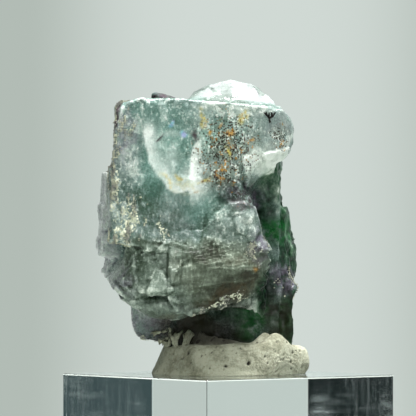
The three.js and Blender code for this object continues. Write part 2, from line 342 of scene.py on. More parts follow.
class Graph:
    """The node tree of one material or world."""

    def __init__(self, tree: bpy.types.NodeTree) -> None:
        """Takes a tree and empties it."""
        self.tree = tree
        tree.nodes.clear()

    def node(self, kind: str, settings: dict[str, Any], values: dict[Any, Any], output: Any = 0) -> Socket:
        """Adds a node.

        Args:
            kind: The node's type.
            settings: Its properties, set first.
            values: Its sockets' values or links, by name or number.
            output: The output wanted, by name or number.

        Returns:
            That output.
        """
        made = self.tree.nodes.new(kind)
        for name, value in settings.items():
            if name == "stops":
                self._set_stops(made.color_ramp, value)
            else:
                setattr(made, name, value)
        for name, value in values.items():
            if isinstance(value, Socket):
                self.tree.links.new(value.link, made.inputs[name])
            else:
                made.inputs[name].default_value = value
        return Socket(self, made.outputs[output]) if made.outputs else Socket(self, None)

    @staticmethod
    def _set_stops(ramp: bpy.types.ColorRamp, stops: Stops) -> None:
        """Gives a ramp its stops, as places and colours."""
        while len(ramp.elements) < len(stops):
            ramp.elements.new(1.0)
        for element, (place, colour) in zip(ramp.elements, stops):
            element.position = place
            element.color = (*colour, 1.0)

    def coordinates(self) -> Socket:
        """Object coordinates, in metres."""
        return self.node("ShaderNodeTexCoord", {}, {}, "Object")

    def attribute(self, name: str) -> Socket:
        """A number that the mesh carries at its points."""
        return self.node("ShaderNodeAttribute", {"attribute_name": name}, {}, "Fac")

    def stretched(self, scale: Place, turn: Place = (0.0, 0.0, 0.0)) -> Socket:
        """Object coordinates turned and scaled, for a texture that runs in one direction.

        Args:
            scale: Factor along each axis.
            turn: Angles in degrees.

        Returns:
            The coordinates.
        """
        angles = tuple(math.radians(angle) for angle in turn)
        values = {"Vector": self.coordinates(), "Rotation": angles, "Scale": scale}
        return self.node("ShaderNodeMapping", {}, values)

    def noise(
        self, size: float, detail: float = 3.0, rough: float = 0.55, where: Socket | None = None
    ) -> Socket:
        """Noise texture with features of a given size.

        Args:
            size: Feature size in metres.
            detail: Number of finer layers.
            rough: Share that each finer layer keeps.
            where: Coordinates, or None for Object coordinates.

        Returns:
            A value from 0 to 1.
        """
        place = where or self.coordinates()
        values = {"Vector": place, "Scale": 1 / size, "Detail": detail, "Roughness": rough}
        return self.node("ShaderNodeTexNoise", {}, values)

    def cells(self, size: float, output: str = "Distance", where: Socket | None = None) -> Socket:
        """Voronoi texture with cells of a given size in metres, and one of its outputs."""
        place = where or self.coordinates()
        return self.node("ShaderNodeTexVoronoi", {}, {"Vector": place, "Scale": 1 / size}, output)

    def grey(self, colour: Socket) -> Socket:
        """The red share of a colour, as a value."""
        return self.node("ShaderNodeSeparateColor", {}, {"Color": colour})

    def vector(self, operation: str, values: dict[Any, Any], output: Any = 0) -> Socket:
        """A Vector Math node on the given values."""
        return self.node("ShaderNodeVectorMath", {"operation": operation}, values, output)

    def distance(self, place: Place) -> Socket:
        """Distance from a place, in metres."""
        return self.vector("DISTANCE", {0: self.coordinates(), 1: place}, "Value")

    def blend(self, factor: Any, first: Any, second: Any) -> Socket:
        """Colour blended from first to second: inputs 6 and 7 and output 2 of a Mix node are its colours.

        Args:
            factor: Share of the second colour.
            first: Colour or link.
            second: Colour or link.

        Returns:
            The blended colour.
        """
        paints = {6: first, 7: second}
        filled = {key: opaque(paint) for key, paint in paints.items()}
        return self.node("ShaderNodeMix", {"data_type": "RGBA"}, {0: factor, **filled}, 2)

    def ramp(self, factor: Socket, stops: Stops) -> Socket:
        """Colour ramp with the given stops."""
        return self.node("ShaderNodeValToRGB", {"stops": stops}, {"Fac": factor})

    def bump(
        self, height: Socket, depth: float, strength: float = 1.0, normal: Socket | None = None
    ) -> Socket:
        """Normal roughened by a height.

        Args:
            height: The height, from 0 to 1.
            depth: What a height of 1 measures, in metres.
            strength: Share of the effect.
            normal: The normal to start from, or None for the surface's own.

        Returns:
            The new normal.
        """
        values = {"Height": height, "Distance": depth, "Strength": strength}
        if normal is not None:
            values["Normal"] = normal
        return self.node("ShaderNodeBump", {}, values)

    def principled(self, values: dict[str, Any]) -> Socket:
        """A Principled shader with the given sockets."""
        filled = {key: opaque(value) for key, value in values.items()}
        return self.node("ShaderNodeBsdfPrincipled", {}, filled)

    def between(self, factor: Socket, first: Socket, second: Socket) -> Socket:
        """Mix Shader from first to second."""
        return self.node("ShaderNodeMixShader", {}, {0: factor, 1: first, 2: second})

    def absorption(self, colour: Colour, density: float) -> Socket:
        """A volume that takes up light and leaves a colour."""
        return self.node("ShaderNodeVolumeAbsorption", {}, {"Color": opaque(colour), "Density": density})

    def surface(self, shader: Socket, volume: Socket | None = None) -> None:
        """Ends a material with its surface and, where given, its volume."""
        links = {"Surface": shader}
        if volume is not None:
            links["Volume"] = volume
        self.node("ShaderNodeOutputMaterial", {}, links)


def new_material(name: str) -> tuple[bpy.types.Material, Graph]:
    """An empty node material.

    Args:
        name: Its name.

    Returns:
        The material and its graph.
    """
    material = bpy.data.materials.new(name)
    material.use_nodes = True
    return material, Graph(material.node_tree)


# Mesh making


def mesh_object(name: str, points: np.ndarray, faces: np.ndarray, smooth: bool = True) -> bpy.types.Object:
    """A mesh object at the origin.

    Args:
        name: Its name.
        points: Vertices in metres, shape (n, 3).
        faces: Corner numbers, shape (m, 3) or (m, 4).
        smooth: Whether its faces are shaded smooth.

    Returns:
        The object, linked to the scene.
    """
    mesh = bpy.data.meshes.new(name)
    sides = faces.shape[1]
    mesh.vertices.add(len(points))
    mesh.vertices.foreach_set("co", points.astype(np.float32).ravel())
    mesh.loops.add(faces.size)
    mesh.loops.foreach_set("vertex_index", faces.astype(np.int32).ravel())
    mesh.polygons.add(len(faces))
    mesh.polygons.foreach_set("loop_start", np.arange(len(faces), dtype=np.int32) * sides)
    mesh.polygons.foreach_set("use_smooth", np.full(len(faces), smooth))
    mesh.update(calc_edges=True)
    mesh.validate()
    made = bpy.data.objects.new(name, mesh)
    bpy.context.scene.collection.objects.link(made)
    return made


def ring_faces(rings: int, around: int) -> np.ndarray:
    """Faces of a grid of closed rings, each joined to the next, with a pole before and after them.

    The points are numbered ring by ring, and the two poles come last.

    Args:
        rings: Number of rings.
        around: Points in each ring.

    Returns:
        Triangles, shape (n, 3).
    """
    step = np.arange(around)
    after = (step + 1) % around
    here = np.arange(rings - 1)[:, None] * around
    above = here + around
    lower = np.stack([here + step, here + after, above + after], axis=-1).reshape(-1, 3)
    upper = np.stack([here + step, above + after, above + step], axis=-1).reshape(-1, 3)
    last = (rings - 1) * around
    first_pole = rings * around
    foot = np.stack([np.full(around, first_pole), after, step], axis=-1)
    crown = np.stack([np.full(around, first_pole + 1), last + step, last + after], axis=-1)
    return np.concatenate([foot, lower, upper, crown])


# Corners of a box's faces, where the corners are counted along z first, then y, then x
BOX_FACES = ((0, 1, 3, 2), (4, 6, 7, 5), (0, 4, 5, 1), (2, 3, 7, 6), (0, 2, 6, 4), (1, 5, 7, 3))


def set_numbers(piece: bpy.types.Object, name: str, numbers: np.ndarray) -> None:
    """Gives each point of a piece a number that its material reads."""
    layer = piece.data.attributes.new(name, "FLOAT", "POINT")
    layer.data.foreach_set("value", numbers.astype(np.float32))


def dress(
    piece: bpy.types.Object, material: bpy.types.Material, node: str | None = None
) -> None:
    """Gives a piece its material, its body and the solid that it stands for.

    Args:
        piece: The piece.
        material: Its only material.
        node: The solid that it replaces, if any.
    """
    piece.data.materials.clear()
    piece.data.materials.append(material)
    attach(piece, BODY)
    if node is not None:
        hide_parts(node)
    LOG.info("%s: %d points", piece.name, len(piece.data.vertices))


def front_depth(tree: BVHTree, x: float, z: float) -> float:
    """Where a line from the front meets a surface, in metres; the middle if it misses.

    Args:
        tree: The surface.
        x: Place across in metres.
        z: Height in metres.

    Returns:
        The place's y.
    """
    hit = tree.ray_cast(Vector((x, RAY_START, z)), Vector((0, 1, 0)))
    return hit[0].y if hit[0] is not None else 0.0


# Markings of the crystal


class Marking(Enum):
    """What a patch of the crystal's surface shows."""

    CRUST = "crust"
    FROST = "frost"
    LAYERS = "layers"
    GLASS = "glass"
    VEIL = "veil"
    GLOW = "glow"
    # Pale tone and painted highlights.
    PALE = "pale"
    RUST = "rust"
    AMBER = "amber"
    # Dark tone and painted shade.
    DARK = "dark"
    VIOLET = "violet"
    EMERALD = "emerald"
    VIVID = "vivid"
    BROKEN = "broken"
    # Painted shadow under the overhang.
    SOOT = "soot"
    # Painted glare on the top crystal.
    SNOW = "snow"
    STAIN = "stain"
    INK = "ink"
    IRIS = "iris"
    ORANGE = "orange"
    FAN = "fan"


@dataclass(frozen=True)
class Patch:
    """A soft-edged ellipsoid, or a rounder or boxier form, in which a marking shows."""

    centre: Place
    radii: Place
    turn: float = 0.0
    weight: float = 1.0
    soft: float = 0.35
    boxy: float = 2.0

    def shares(self, points: np.ndarray) -> np.ndarray:
        """How strongly the marking shows: weight inside, fading to 0 across the soft edge.

        The distance is the boxy-th root of the sum of the coordinates' boxy-th powers.

        Args:
            points: Places in millimetres, shape (n, 3).

        Returns:
            Shares, shape (n,).
        """
        local = turn_y(points - np.array(self.centre), self.turn) / np.array(self.radii)
        distance = np.sum(np.abs(local) ** self.boxy, axis=1) ** (1 / self.boxy)
        return self.weight * (1 - fade(distance, 1 - self.soft, 1 + self.soft))


@dataclass(frozen=True)
class Blade:
    """A crack or an edge across the front: sharp along one side of its route, fading away on the other."""

    route: tuple[tuple[float, float], ...]
    reach: tuple[float, float]
    sharp: float = 0.5
    weight: float = 1.0

    def shares(self, points: np.ndarray) -> np.ndarray:
        """How strongly the crack shows: a bell curve of distance on its right, a short step on its left.

        The bell curve's reach changes evenly from the start of the route to its end.

        Args:
            points: Places in millimetres, shape (n, 3).

        Returns:
            Shares, shape (n,).
        """
        flat = points[:, [0, 2]]
        nearest = np.full(len(points), np.inf)
        side = np.zeros(len(points))
        reach = np.full(len(points), self.reach[0])
        stops = np.array(self.route)
        for index, (start, end) in enumerate(zip(stops[:-1], stops[1:])):
            along = end - start
            offset = flat - start
            share = np.clip(offset @ along / (along @ along), 0, 1)
            distance = np.linalg.norm(offset - share[:, None] * along, axis=1)
            closer = distance < nearest
            side = np.where(closer, along[0] * offset[:, 1] - along[1] * offset[:, 0], side)
            travelled = (index + share) / (len(stops) - 1)
            reach = np.where(closer, self.reach[0] + travelled * (self.reach[1] - self.reach[0]), reach)
            nearest = np.minimum(nearest, distance)
        right = np.exp(-((nearest / reach) ** 2))
        left = 1 - fade(nearest, 0, self.sharp)
        front = 1 - fade(points[:, 1], FRONT + 6, FRONT + 10)
        return self.weight * front * np.where(side > 0, right, left)


@dataclass(frozen=True)
class Facet:
    """A flat, sharp-edged break: a convex outline across the front, with a shade, a lift and a tilt. The
    shade is painted light and shade, partly the facet's own tone: lighter where the facet catches the light,
    darker where it misses it.

    The tilt is how far the facet rises outwards for each millimetre to the right and upwards.
    """

    outline: tuple[tuple[float, float], ...]
    shade: float
    tilt: tuple[float, float] = (0.0, 0.0)
    lift: float = 0.0
    back: float = -4.0
    soft: float = 0.2

    def shares(self, points: np.ndarray) -> np.ndarray:
        """1 inside the outline and 0 outside it, by the largest distance from its sides' lines.

        Args:
            points: Places in millimetres, shape (n, 3).

        Returns:
            Shares, shape (n,).
        """
        flat = points[:, [0, 2]]
        starts = np.array(self.outline)
        ends = np.roll(starts, -1, axis=0)
        turn = np.sign(np.sum(starts[:, 0] * ends[:, 1] - starts[:, 1] * ends[:, 0]))
        outside = np.full(len(points), -np.inf)
        for start, side in zip(starts, ends - starts):
            offset = flat - start
            across = (side[1] * offset[:, 0] - side[0] * offset[:, 1]) / np.linalg.norm(side)
            outside = np.maximum(outside, across * turn)
        return (1 - fade(outside, -self.soft, self.soft)) * (points[:, 1] < self.back)

    def heights(self, points: np.ndarray) -> np.ndarray:
        """Height of the tilted plane at each place, 0 outside the outline.

        Args:
            points: Places in millimetres, shape (n, 3).

        Returns:
            Heights, shape (n,).
        """
        offset = points[:, [0, 2]] - np.mean(self.outline, axis=0)
        return self.shares(points) * (self.lift + offset @ np.array(self.tilt))


LEFT_CRACK = (
    (-17.5, 50.9), (-17.0, 48.2), (-16.2, 45.0), (-13.9, 41.5), (-12.5, 39.4), (-10.8, 38.3), (-8.3, 39.0)
)

BLADES = {
    Marking.VEIL: (
        Blade(LEFT_CRACK, (2.2, 4.0), 0.5, 0.84),
        Blade(LEFT_CRACK, (2.0, 8.0), 0.4, 0.3),
        Blade(((-6.8, 48.6), (-7.6, 46.4), (-7.9, 43.2), (-8.0, 40.2)), (1.3, 3.4), 0.4, 0.9),
    ),
    # Painted highlights: thin light lines on the ridges and edges of the shell, the wedge, the ledge, the
    # lower layers and the upper-right lobe.
    Marking.PALE: (
        Blade(((-4.0, 31.8), (-3.0, 33.5), (-1.1, 34.7), (0.8, 35.6)), (0.4, 0.25), 0.2, 1.5),
        Blade(((0.1, 33.0), (1.8, 34.2), (3.7, 34.4)), (0.4, 0.3), 0.2, 1.8),
        Blade(((4.7, 35.4), (5.2, 33.7), (3.9, 31.8), (3.2, 30.8)), (0.5, 0.3), 0.2, 1.8),
        Blade(((-2.8, 27.6), (-2.0, 30.4), (-1.8, 32.6)), (0.3, 0.2), 0.15, 1.3),
        Blade(((-2.0, 31.6), (-4.6, 26.9)), (0.25, 0.2), 0.15, 1.2),
        Blade(((-16.6, 28.5), (-14.2, 28.5), (-12.2, 27.9)), (0.3, 0.2), 0.15, 1.6),
        Blade(((-16.5, 27.9), (-17.7, 25.0), (-16.5, 24.1)), (0.3, 0.2), 0.15, 1.4),
        Blade(((-15.1, 22.6), (-16.8, 19.7), (-18.7, 16.6)), (0.3, 0.3), 0.15, 2.0),
        Blade(((-15.1, 22.6), (-13.2, 20.0), (-11.5, 18.0)), (0.2, 0.3), 0.15, 1.6),
        Blade(((-18.5, 15.9), (-15.6, 16.8), (-12.2, 16.4), (-9.8, 14.9)), (0.4, 0.3), 0.2, 1.8),
        Blade(((-1.1, 22.4), (2.7, 22.6), (7.1, 23.6)), (0.2, 0.3), 0.15, 1.6),
        Blade(((-1.1, 19.5), (3.2, 20.0), (5.6, 20.7)), (0.2, 0.2), 0.15, 1.6),
        Blade(((4.8, 55.4), (5.8, 53.4), (7.1, 51.4)), (0.4, 0.3), 0.2, 2.0),
        Blade(((13.3, 51.0), (13.0, 49.0), (12.3, 47.3)), (0.6, 0.6), 0.5, 3.0),
        Blade(((7.4, 46.8), (10.0, 46.7), (12.8, 47.4)), (0.3, 0.3), 0.2, 2.4),
    ),
    # Dark lines along cracks and facet edges, partly painted shadow: the bands under the ledges and the pale
    # triangle, and shade along the top edge.
    Marking.DARK: (
        Blade(((10.6, 56.8), (-24.0, 58.8)), (0.3, 0.3), 0.3, 1.8),
        Blade(((-4.2, 34.2), (-6.1, 27.5)), (0.4, 0.4), 0.25, 1.8),
        Blade(((-9.5, 26.5), (-9.8, 23.1), (-9.8, 19.2)), (0.5, 0.3), 0.2, 2.2),
        Blade(((-12.4, 27.7), (-12.2, 23.1), (-11.5, 18.3)), (0.5, 0.5), 0.2, 2.2),
        Blade(((-18.7, 16.2), (-14.1, 16.3), (-11.5, 17.6)), (0.3, 0.3), 0.3, 2.6),
        Blade(((-20.9, 28), (-19.9, 25), (-20.9, 23), (-18.9, 19.7), (-18.9, 16.4)), (0.4, 0.5)),
        Blade(((6.4, 35.1), (6.7, 31.8), (5.6, 28.4)), (0.6, 0.4), 0.2, 2.2),
        Blade(((-20.9, 28.1), (-16.5, 28.1), (-12.7, 27.4), (-9.0, 26.4)), (0.3, 0.3), 0.3, 2.4),
    ),
    Marking.INK: (
        Blade(((-13.4, 50.5), (-15.0, 49.2)), (0.25, 0.2), 0.2, 0.9),
        Blade(((-23.2, 52.2), (-22.6, 54.8), (-22.2, 57.6)), (1.2, 1.6), 0.4, 1.0),
    ),
}

# Facet shades: painted light and shade, partly the facets' own tone, down to deep shade strokes on the top
# crystal.
FACETS = (
    Facet(((-17.8, 28.1), (-12.5, 27.7), (-12.9, 24.9), (-17.5, 24.5)), 0.02, (0.0, -0.1), 0.1),
    Facet(((-15.1, 22.8), (-11.4, 18.0), (-18.6, 16.4)), -0.01, (0.0, -0.05)),
    Facet(((-18.9, 21.0), (-15.2, 23.1), (-18.6, 16.6)), -0.03, (0.12, -0.05)),
    Facet(((-24.2, 19.9), (-19.6, 25.6), (-18.9, 21.0), (-20.0, 16.0)), -0.02, (0.2, 0.05)),
    Facet(((-12.4, 27.4), (-9.6, 26.6), (-9.8, 19.2), (-11.8, 19.4)), 0.03, (-0.2, 0.0), 0.1),
    Facet(((-9.4, 25.9), (-1.2, 27.0), (1.9, 24.2), (-6.2, 23.1)), 0.0, (0.0, -0.06), 0.2),
    Facet(((-5.5, 18.9), (5.8, 22.8), (6.5, 20.6), (-3.4, 16.4)), -0.12, (0.0, 0.12)),
    Facet(((-18.6, 16.4), (-11.1, 16.8), (-6.9, 13.2), (-13.3, 11.8), (-17.5, 13.9)), -0.02, (0.0, 0.1)),
    Facet(((3.6, 16.6), (6.2, 16.2), (7.2, 11.8), (4.8, 13.6)), 0.06, (-0.1, 0.0), 0.1),
    Facet(((1.4, 34.6), (5.4, 35.0), (5.8, 31.0), (2.6, 31.4)), 0.06, (0.0, 0.1)),
    Facet(((11.0, 13.0), (17.0, 13.0), (17.0, 3.0), (11.0, 3.0)), 0.0, (0.0, 0.0), -1.0, 16.0, 2.5),
    Facet(((4.8, 55.4), (7, 56.2), (11, 55.4), (14.2, 52.3), (12.9, 47.3), (7.5, 46.9)), 0.0, (0.04, 0)),
    Facet(((7.4, 46.5), (12.9, 47.8), (11.8, 44.3), (8.6, 42.9)), 0.14, (0.0, 0.15), 0.2),
    Facet(((3.0, 46.0), (7.2, 46.4), (5.4, 42.6), (3.8, 39.5)), 0.12, (-0.2, 0.0), 0.2),
    Facet(((-8.9, 58.6), (-6.4, 60.9), (-3.4, 62.2), (-3.6, 60.9), (-6.2, 59.8)), -0.3, (0.1, 0), 0, 16.0),
    Facet(((-3.9, 60.8), (-3.3, 60.8), (-2.2, 59.4), (-2.8, 59.0)), -0.5, (0.0, 0.0), 0.0, 16.0),
    Facet(((-2.8, 59.5), (0.2, 59.0), (0.2, 58.4), (-2.6, 58.7)), -0.5, (0.0, 0.0), 0.0, 16.0),
    Facet(((5.6, 61.5), (8.2, 59.6), (7.8, 58.8), (6.2, 59.3)), -0.45, (-0.2, 0.0), 0.0, 16.0),
)

PATCHES = {
    Marking.CRUST: (
        Patch((-23.4, FRONT, 38.0), (1.8, 3.2, 9.0), 4, 0.5, 0.8),
        Patch((-20.6, FRONT, 33.0), (2.6, 3.2, 4.4), -12, 0.52, 0.8),
        Patch((-22.2, FRONT, 30.6), (3.0, 3.2, 2.2), 0, 0.55, 0.8),
        Patch((-14.0, FRONT, 31.0), (0.9, 3.2, 3.0), 0, 0.48, 0.8),
        Patch((-22.4, -13, 53.0), (2.4, 7, 4.6), 4, 0.3, 0.5),
        Patch((-1.0, FRONT, 15.8), (6.6, 5, 0.9), 23, 0.52, 0.5),
        Patch((6.0, -12, 26.8), (1.9, 6, 3.0), 0, 0.38, 0.8),
        Patch((-15.4, -6, 6.6), (4.6, 7, 0.9), -12, 0.45, 0.6),
        Patch((12.8, 1, 19.0), (2.4, 7, 3.0), 0, 0.12, 0.6),
        Patch((-18.4, 12, 44.0), (6.0, 7, 7.0), 0, 0.45, 0.6),
    ),
    Marking.FROST: (
        Patch((12.4, 1, 20.0), (3.0, 9, 5.0), 0, 0.2, 0.6),
        Patch((-20.0, FRONT, 34.0), (5.0, 7, 13.0), 0, 1.0, 0.6),
        Patch((-14.0, FRONT, 31.0), (5.0, 7, 5.0), 0, 0.7, 0.6),
        Patch((-14.0, FRONT, 55.0), (12.0, 8, 4.0), 4, 0.9, 0.5),
        Patch((2.0, FRONT, 55.4), (8.0, 6, 2.2), -3, 1.0, 0.5),
        Patch((-10.6, FRONT, 46.4), (5.4, 6, 5.4), 0, 0.6, 0.6),
        Patch((-1.0, FRONT, 32.0), (9.0, 6, 9.0), 0, 0.6, 0.6),
        Patch((-12.0, FRONT, 20.0), (13.0, 6, 8.0), 0, 0.2, 0.5),
    ),
    Marking.LAYERS: (
        Patch((-1.4, FRONT, 21.6), (9.6, 6, 6.4), 0, 1.0, 0.3),
    ),
    Marking.GLASS: (
        Patch((12.4, -8, 51.4), (2.6, 8, 5.6), 0, 0.5, 0.4),
        Patch((8.6, -11, 44.4), (6.4, 7, 3.0), -35, 1.0, 0.4),
        Patch((2.6, FRONT, 34.6), (4.4, 4, 2.2), 0, 0.25, 0.5),
        Patch((-12.4, -12, 14.2), (6.6, 7, 2.8), 0, 0.4, 0.4),
        Patch((0.8, 4, 60.6), (10.5, 13, 4.4), 0, 0.5, 0.3),
    ),
    Marking.VEIL: (
        Patch((-11.2, FRONT, 50.6), (2.6, 6, 0.6), 10, 0.3, 0.7),
        Patch((-12.6, FRONT, 45.0), (2.4, 6, 3.0), -20, 0.5, 0.7),
        Patch((-17.2, FRONT, 51.4), (1.0, 6, 1.4), 0, 0.9, 0.6),
        Patch((9.0, -11, 45.4), (4.4, 7, 1.8), -20, 0.22, 0.5),
        Patch((-26.4, -2, 28.0), (2.6, 10, 14.0), 0, 0.16, 0.5),
    ),
    Marking.GLOW: (
        Patch((-12.4, FRONT, 45.6), (6.0, 6, 8.0), -8, 0.9, 0.6),
        Patch((-15.0, FRONT, 54.0), (9.0, 6, 4.0), 0, 0.5, 0.6),
        Patch((-4.6, FRONT, 49.4), (2.8, 6, 3.4), 0, 0.9, 0.6),
        Patch((-1.0, FRONT, 53.0), (5.0, 6, 3.0), 0, 0.3, 0.6),
        Patch((-5.0, FRONT, 35.6), (5.0, 6, 3.6), 0, 0.7, 0.6),
    ),
    # Lighter tone, and painted light where facets, rims and the top crystal catch the overhead light.
    Marking.PALE: (
        Patch((-6.0, FRONT, 52.0), (21.0, 9, 8.0), 4, 0.6, 0.5),
        Patch((9.0, -11, 49.0), (7.0, 9, 8.0), 0, 1.1, 0.5),
        Patch((-21.6, -13, 48.6), (2.6, 8, 6.0), 0, 1.3, 0.5),
        Patch((12.8, -9, 49.8), (1.0, 7, 2.2), 0, 2.4, 0.6),
        Patch((-23.2, -13, 35.0), (2.8, 7, 7.0), 0, 0.8, 0.6),
        Patch((-20.0, FRONT, 42.4), (2.8, 6, 3.6), 0, 1.3, 0.6),
        Patch((-9.0, FRONT, 37.2), (3.6, 6, 2.0), 0, 1.0, 0.6),
        Patch((1.6, FRONT, 56.0), (9.0, 6, 1.8), -3, 2.4, 0.5),
        Patch((1.2, FRONT, 52.4), (3.2, 6, 2.4), 0, 1.4, 0.6),
        Patch((7.6, 2, 58.4), (4.6, 12, 2.2), 0, 2.4, 0.4),
        Patch((-5.4, 2, 58.8), (3.4, 12, 1.2), 18, 2.4, 0.4),
        Patch((-26.2, 0, 32.0), (3.2, 10, 15.0), 0, 2.2, 0.4),
        Patch((-25.4, -4, 42.4), (2.4, 10, 2.8), 0, 3.0, 0.5),
        Patch((-19.8, -12, 17.0), (2.4, 7, 2.2), 0, 1.2, 0.5),
        Patch((-22.2, -12, 27.2), (2.8, 6, 1.6), 8, 1.8, 0.5),
        Patch((8.6, -11, 44.0), (6.0, 8, 2.8), -25, 2.8, 0.4),
        Patch((1.6, FRONT, 33.2), (5.0, 5, 3.2), 0, 0.2, 0.5),
        Patch((4.1, FRONT, 31.9), (1.2, 5, 1.3), 0, 1.0, 0.6),
        Patch((-15.0, FRONT, 19.4), (2.4, 6, 2.2), 20, 0.3, 0.4),
        Patch((-17.0, FRONT, 17.6), (1.8, 6, 1.2), 25, 0.9, 0.5),
        Patch((5.8, -8, 14.0), (1.2, 5, 3.0), 0, 0.5, 0.4),
        Patch((-12.6, -13, 13.8), (5.8, 6, 1.8), 0, 1.0, 0.5),
        Patch((-23.4, -9, 22.4), (2.4, 9, 4.6), 0, 1.8, 0.5),
        Patch((-17.6, -5, 10.6), (5.0, 8, 4.6), 0, 0.8, 0.5),
        Patch((0.6, FRONT, 27.2), (2.6, 5, 2.2), 0, 0.8, 0.5),
        Patch((-8.6, FRONT, 22.0), (3.4, 5, 2.4), 0, 0.8, 0.5),
        Patch((4.6, 1, 12.4), (3.2, 9, 3.6), 0, 1.0, 0.6),
        Patch((9.0, 0, 41.4), (3.4, 9, 3.2), 0, 1.2, 0.5),
        Patch((10.4, 0, 35.4), (0.9, 9, 2.0), 0, 1.6, 0.5),
    ),
    Marking.RUST: (
        Patch((-0.4, FRONT, 47.4), (7.6, 6, 8.4), 0, 0.6, 0.6),
        Patch((0.4, FRONT, 48.0), (5.4, 6, 3.6), 0, 1.0, 0.5),
        Patch((-0.4, FRONT, 42.6), (3.4, 6, 3.4), 0, 0.95, 0.5),
        Patch((10.4, -10, 49.8), (2.6, 7, 2.8), 0, 1.0, 0.5),
        Patch((2.8, FRONT, 37.4), (3.2, 6, 2.2), -10, 0.45, 0.6),
    ),
    Marking.AMBER: (
        Patch((-5.6, FRONT, 54.0), (0.5, 5, 2.2), 25, 1.0, 0.6),
        Patch((3.0, FRONT, 54.2), (0.7, 5, 1.8), -25, 1.0, 0.6),
        Patch((-0.4, FRONT, 46.3), (0.5, 5, 1.3), 0, 1.0, 0.6),
        Patch((-5.5, FRONT, 40.8), (2.0, 5, 0.5), 15, 0.9, 0.7),
        Patch((-9.7, FRONT, 41.1), (1.8, 5, 0.45), -20, 0.9, 0.7),
        Patch((-12.6, FRONT, 40.2), (2.0, 5, 0.3), -52, 0.7, 0.7),
        Patch((-8.2, FRONT, 39.2), (2.4, 5, 1.2), 0, 0.35, 0.8),
    ),
    # Darker tone, and painted shade: under the overhang at the lower left, along the rim, and on the ledge
    # top and the top edge, which catch the light.
    Marking.DARK: (
        Patch((-15.4, FRONT, 35.6), (3.8, 6, 7.0), 12, 1.0, 0.5),
        Patch((-14.2, FRONT, 55.0), (3.6, 6, 2.4), 0, 0.9, 0.5),
        Patch((2.2, FRONT, 36.9), (3.6, 6, 2.0), -10, 2.0, 0.5),
        Patch((-3.8, FRONT, 46.8), (2.2, 6, 3.0), 0, 1.2, 0.6),
        Patch((-10.0, FRONT, 50.0), (3.2, 6, 5.4), 0, 1.5, 0.6),
        Patch((8.6, -8, 17.0), (1.6, 6, 6.0), 0, 2.4, 0.3),
        Patch((5.4, -11, 18.6), (2.4, 6, 1.6), 0, 1.6, 0.5),
        Patch((6.8, -11, 27.4), (1.8, 6, 2.4), 0, 0.6, 0.5),
        Patch((-9.4, FRONT, 40.0), (3.0, 6, 1.4), 0, 1.0, 0.6),
        Patch((-11.0, FRONT, 36.0), (3.4, 6, 3.2), 0, 0.8, 0.5),
        Patch((4.6, -14, 39.0), (3.6, 6, 2.4), -30, 1.6, 0.6),
        Patch((-17.4, FRONT, 26.2), (3.6, 6, 1.8), 0, 0.8, 0.5),
        Patch((-11.0, FRONT, 22.4), (0.9, 6, 4.0), 0, 0.8, 0.5),
        Patch((-4.0, FRONT, 26.2), (4.6, 5, 1.8), 5, 2.0, 0.5),
        Patch((-10.0, FRONT, 14.0), (9.0, 8, 2.4), 0, 1.2, 0.5),
        Patch((1.0, FRONT, 17.6), (8.0, 6, 2.4), 22, 1.4, 0.5),
        Patch((-19.4, -10, 22.6), (3.2, 9, 3.0), 0, 1.5, 0.5),
        Patch((-6.0, -5, 58.6), (19.0, 10, 1.1), -3, 2.0, 0.3),
        Patch((8.4, -2, 16.6), (2.0, 6, 5.0), 0, 3.4, 0.4),
        Patch((12.0, 1, 19.6), (3.0, 8, 4.2), 0, 1.0, 0.5),
        Patch((7.9, -10, 17.2), (2.1, 8, 4.0), 0, 1.8, 0.3),
    ),
    Marking.VIOLET: (
        Patch((-21.8, -13, 51.0), (2.8, 8, 6.0), 0, 0.7, 0.5),
        Patch((-24.8, -10, 48.0), (1.4, 9, 7.0), 0, 0.9, 0.5),
        Patch((-13.4, -2, 58.6), (2.8, 4, 2.0), 0, 1.0, 0.4),
        Patch((10.4, -9, 50.6), (3.8, 7, 4.4), 0, 0.55, 0.5),
        Patch((-26.0, 2, 30.0), (3.6, 9, 13.0), 0, 1.0, 0.5),
        Patch((-16.4, -1, 11.4), (6.4, 9, 6.4), 0, 0.9, 0.5),
        Patch((-23.0, -10, 20.0), (3.4, 8, 5.0), 0, 0.7, 0.5),
        Patch((6.6, -12, 28.0), (2.4, 6, 4.0), 0, 0.9, 0.5),
        Patch((3.4, -13, 37.6), (4.6, 7, 2.4), -24, 0.9, 0.5),
        Patch((5.0, -2, 37.0), (2.6, 5, 2.4), 0, 0.9, 0.5),
        Patch((11.6, 0, 19.8), (2.6, 9, 3.6), 0, 0.8, 0.4),
        Patch((-10.0, 14, 30.0), (16.0, 9, 5.0), 10, 0.6, 0.6),
    ),
    Marking.EMERALD: (
        Patch((1.5, 12.0, 20.0), (17.0, 15.6, 25.4), 0, 1.0, 0.08, 8.0),
        Patch((9.4, -3, 40.6), (4.2, 8, 5.4), 0, 0.9, 0.4),
        Patch((7.9, -10, 17.6), (2.2, 8, 4.6), 0, 1.0, 0.3),
    ),
    Marking.VIVID: (
        Patch((10.4, 0, 30.4), (3.2, 9, 2.6), 0, 1.0, 0.5),
        Patch((5.2, 1, 12.0), (3.8, 9, 4.6), 0, 1.0, 0.6),
        Patch((8.6, 0, 42.6), (3.0, 9, 2.2), 0, 0.35, 0.5),
    ),
    Marking.BROKEN: (
        Patch((-6.0, -13, 19.6), (18.0, 9, 9.4), 0, 1.0, 0.1, 6.0),
        Patch((1.0, FRONT, 31.0), (6.4, 5, 5.4), 0, 0.5, 0.3),
        Patch((9.0, -10, 45.0), (6.0, 7, 3.0), -30, 0.6, 0.3),
    ),
    # Painted shadow: near black under the overhang, along the rim and at the foot of the dark green crystal.
    Marking.SOOT: (
        Patch((-6.0, -3, 8.0), (11.0, 8, 5.0), 0, 1.0, 0.5),
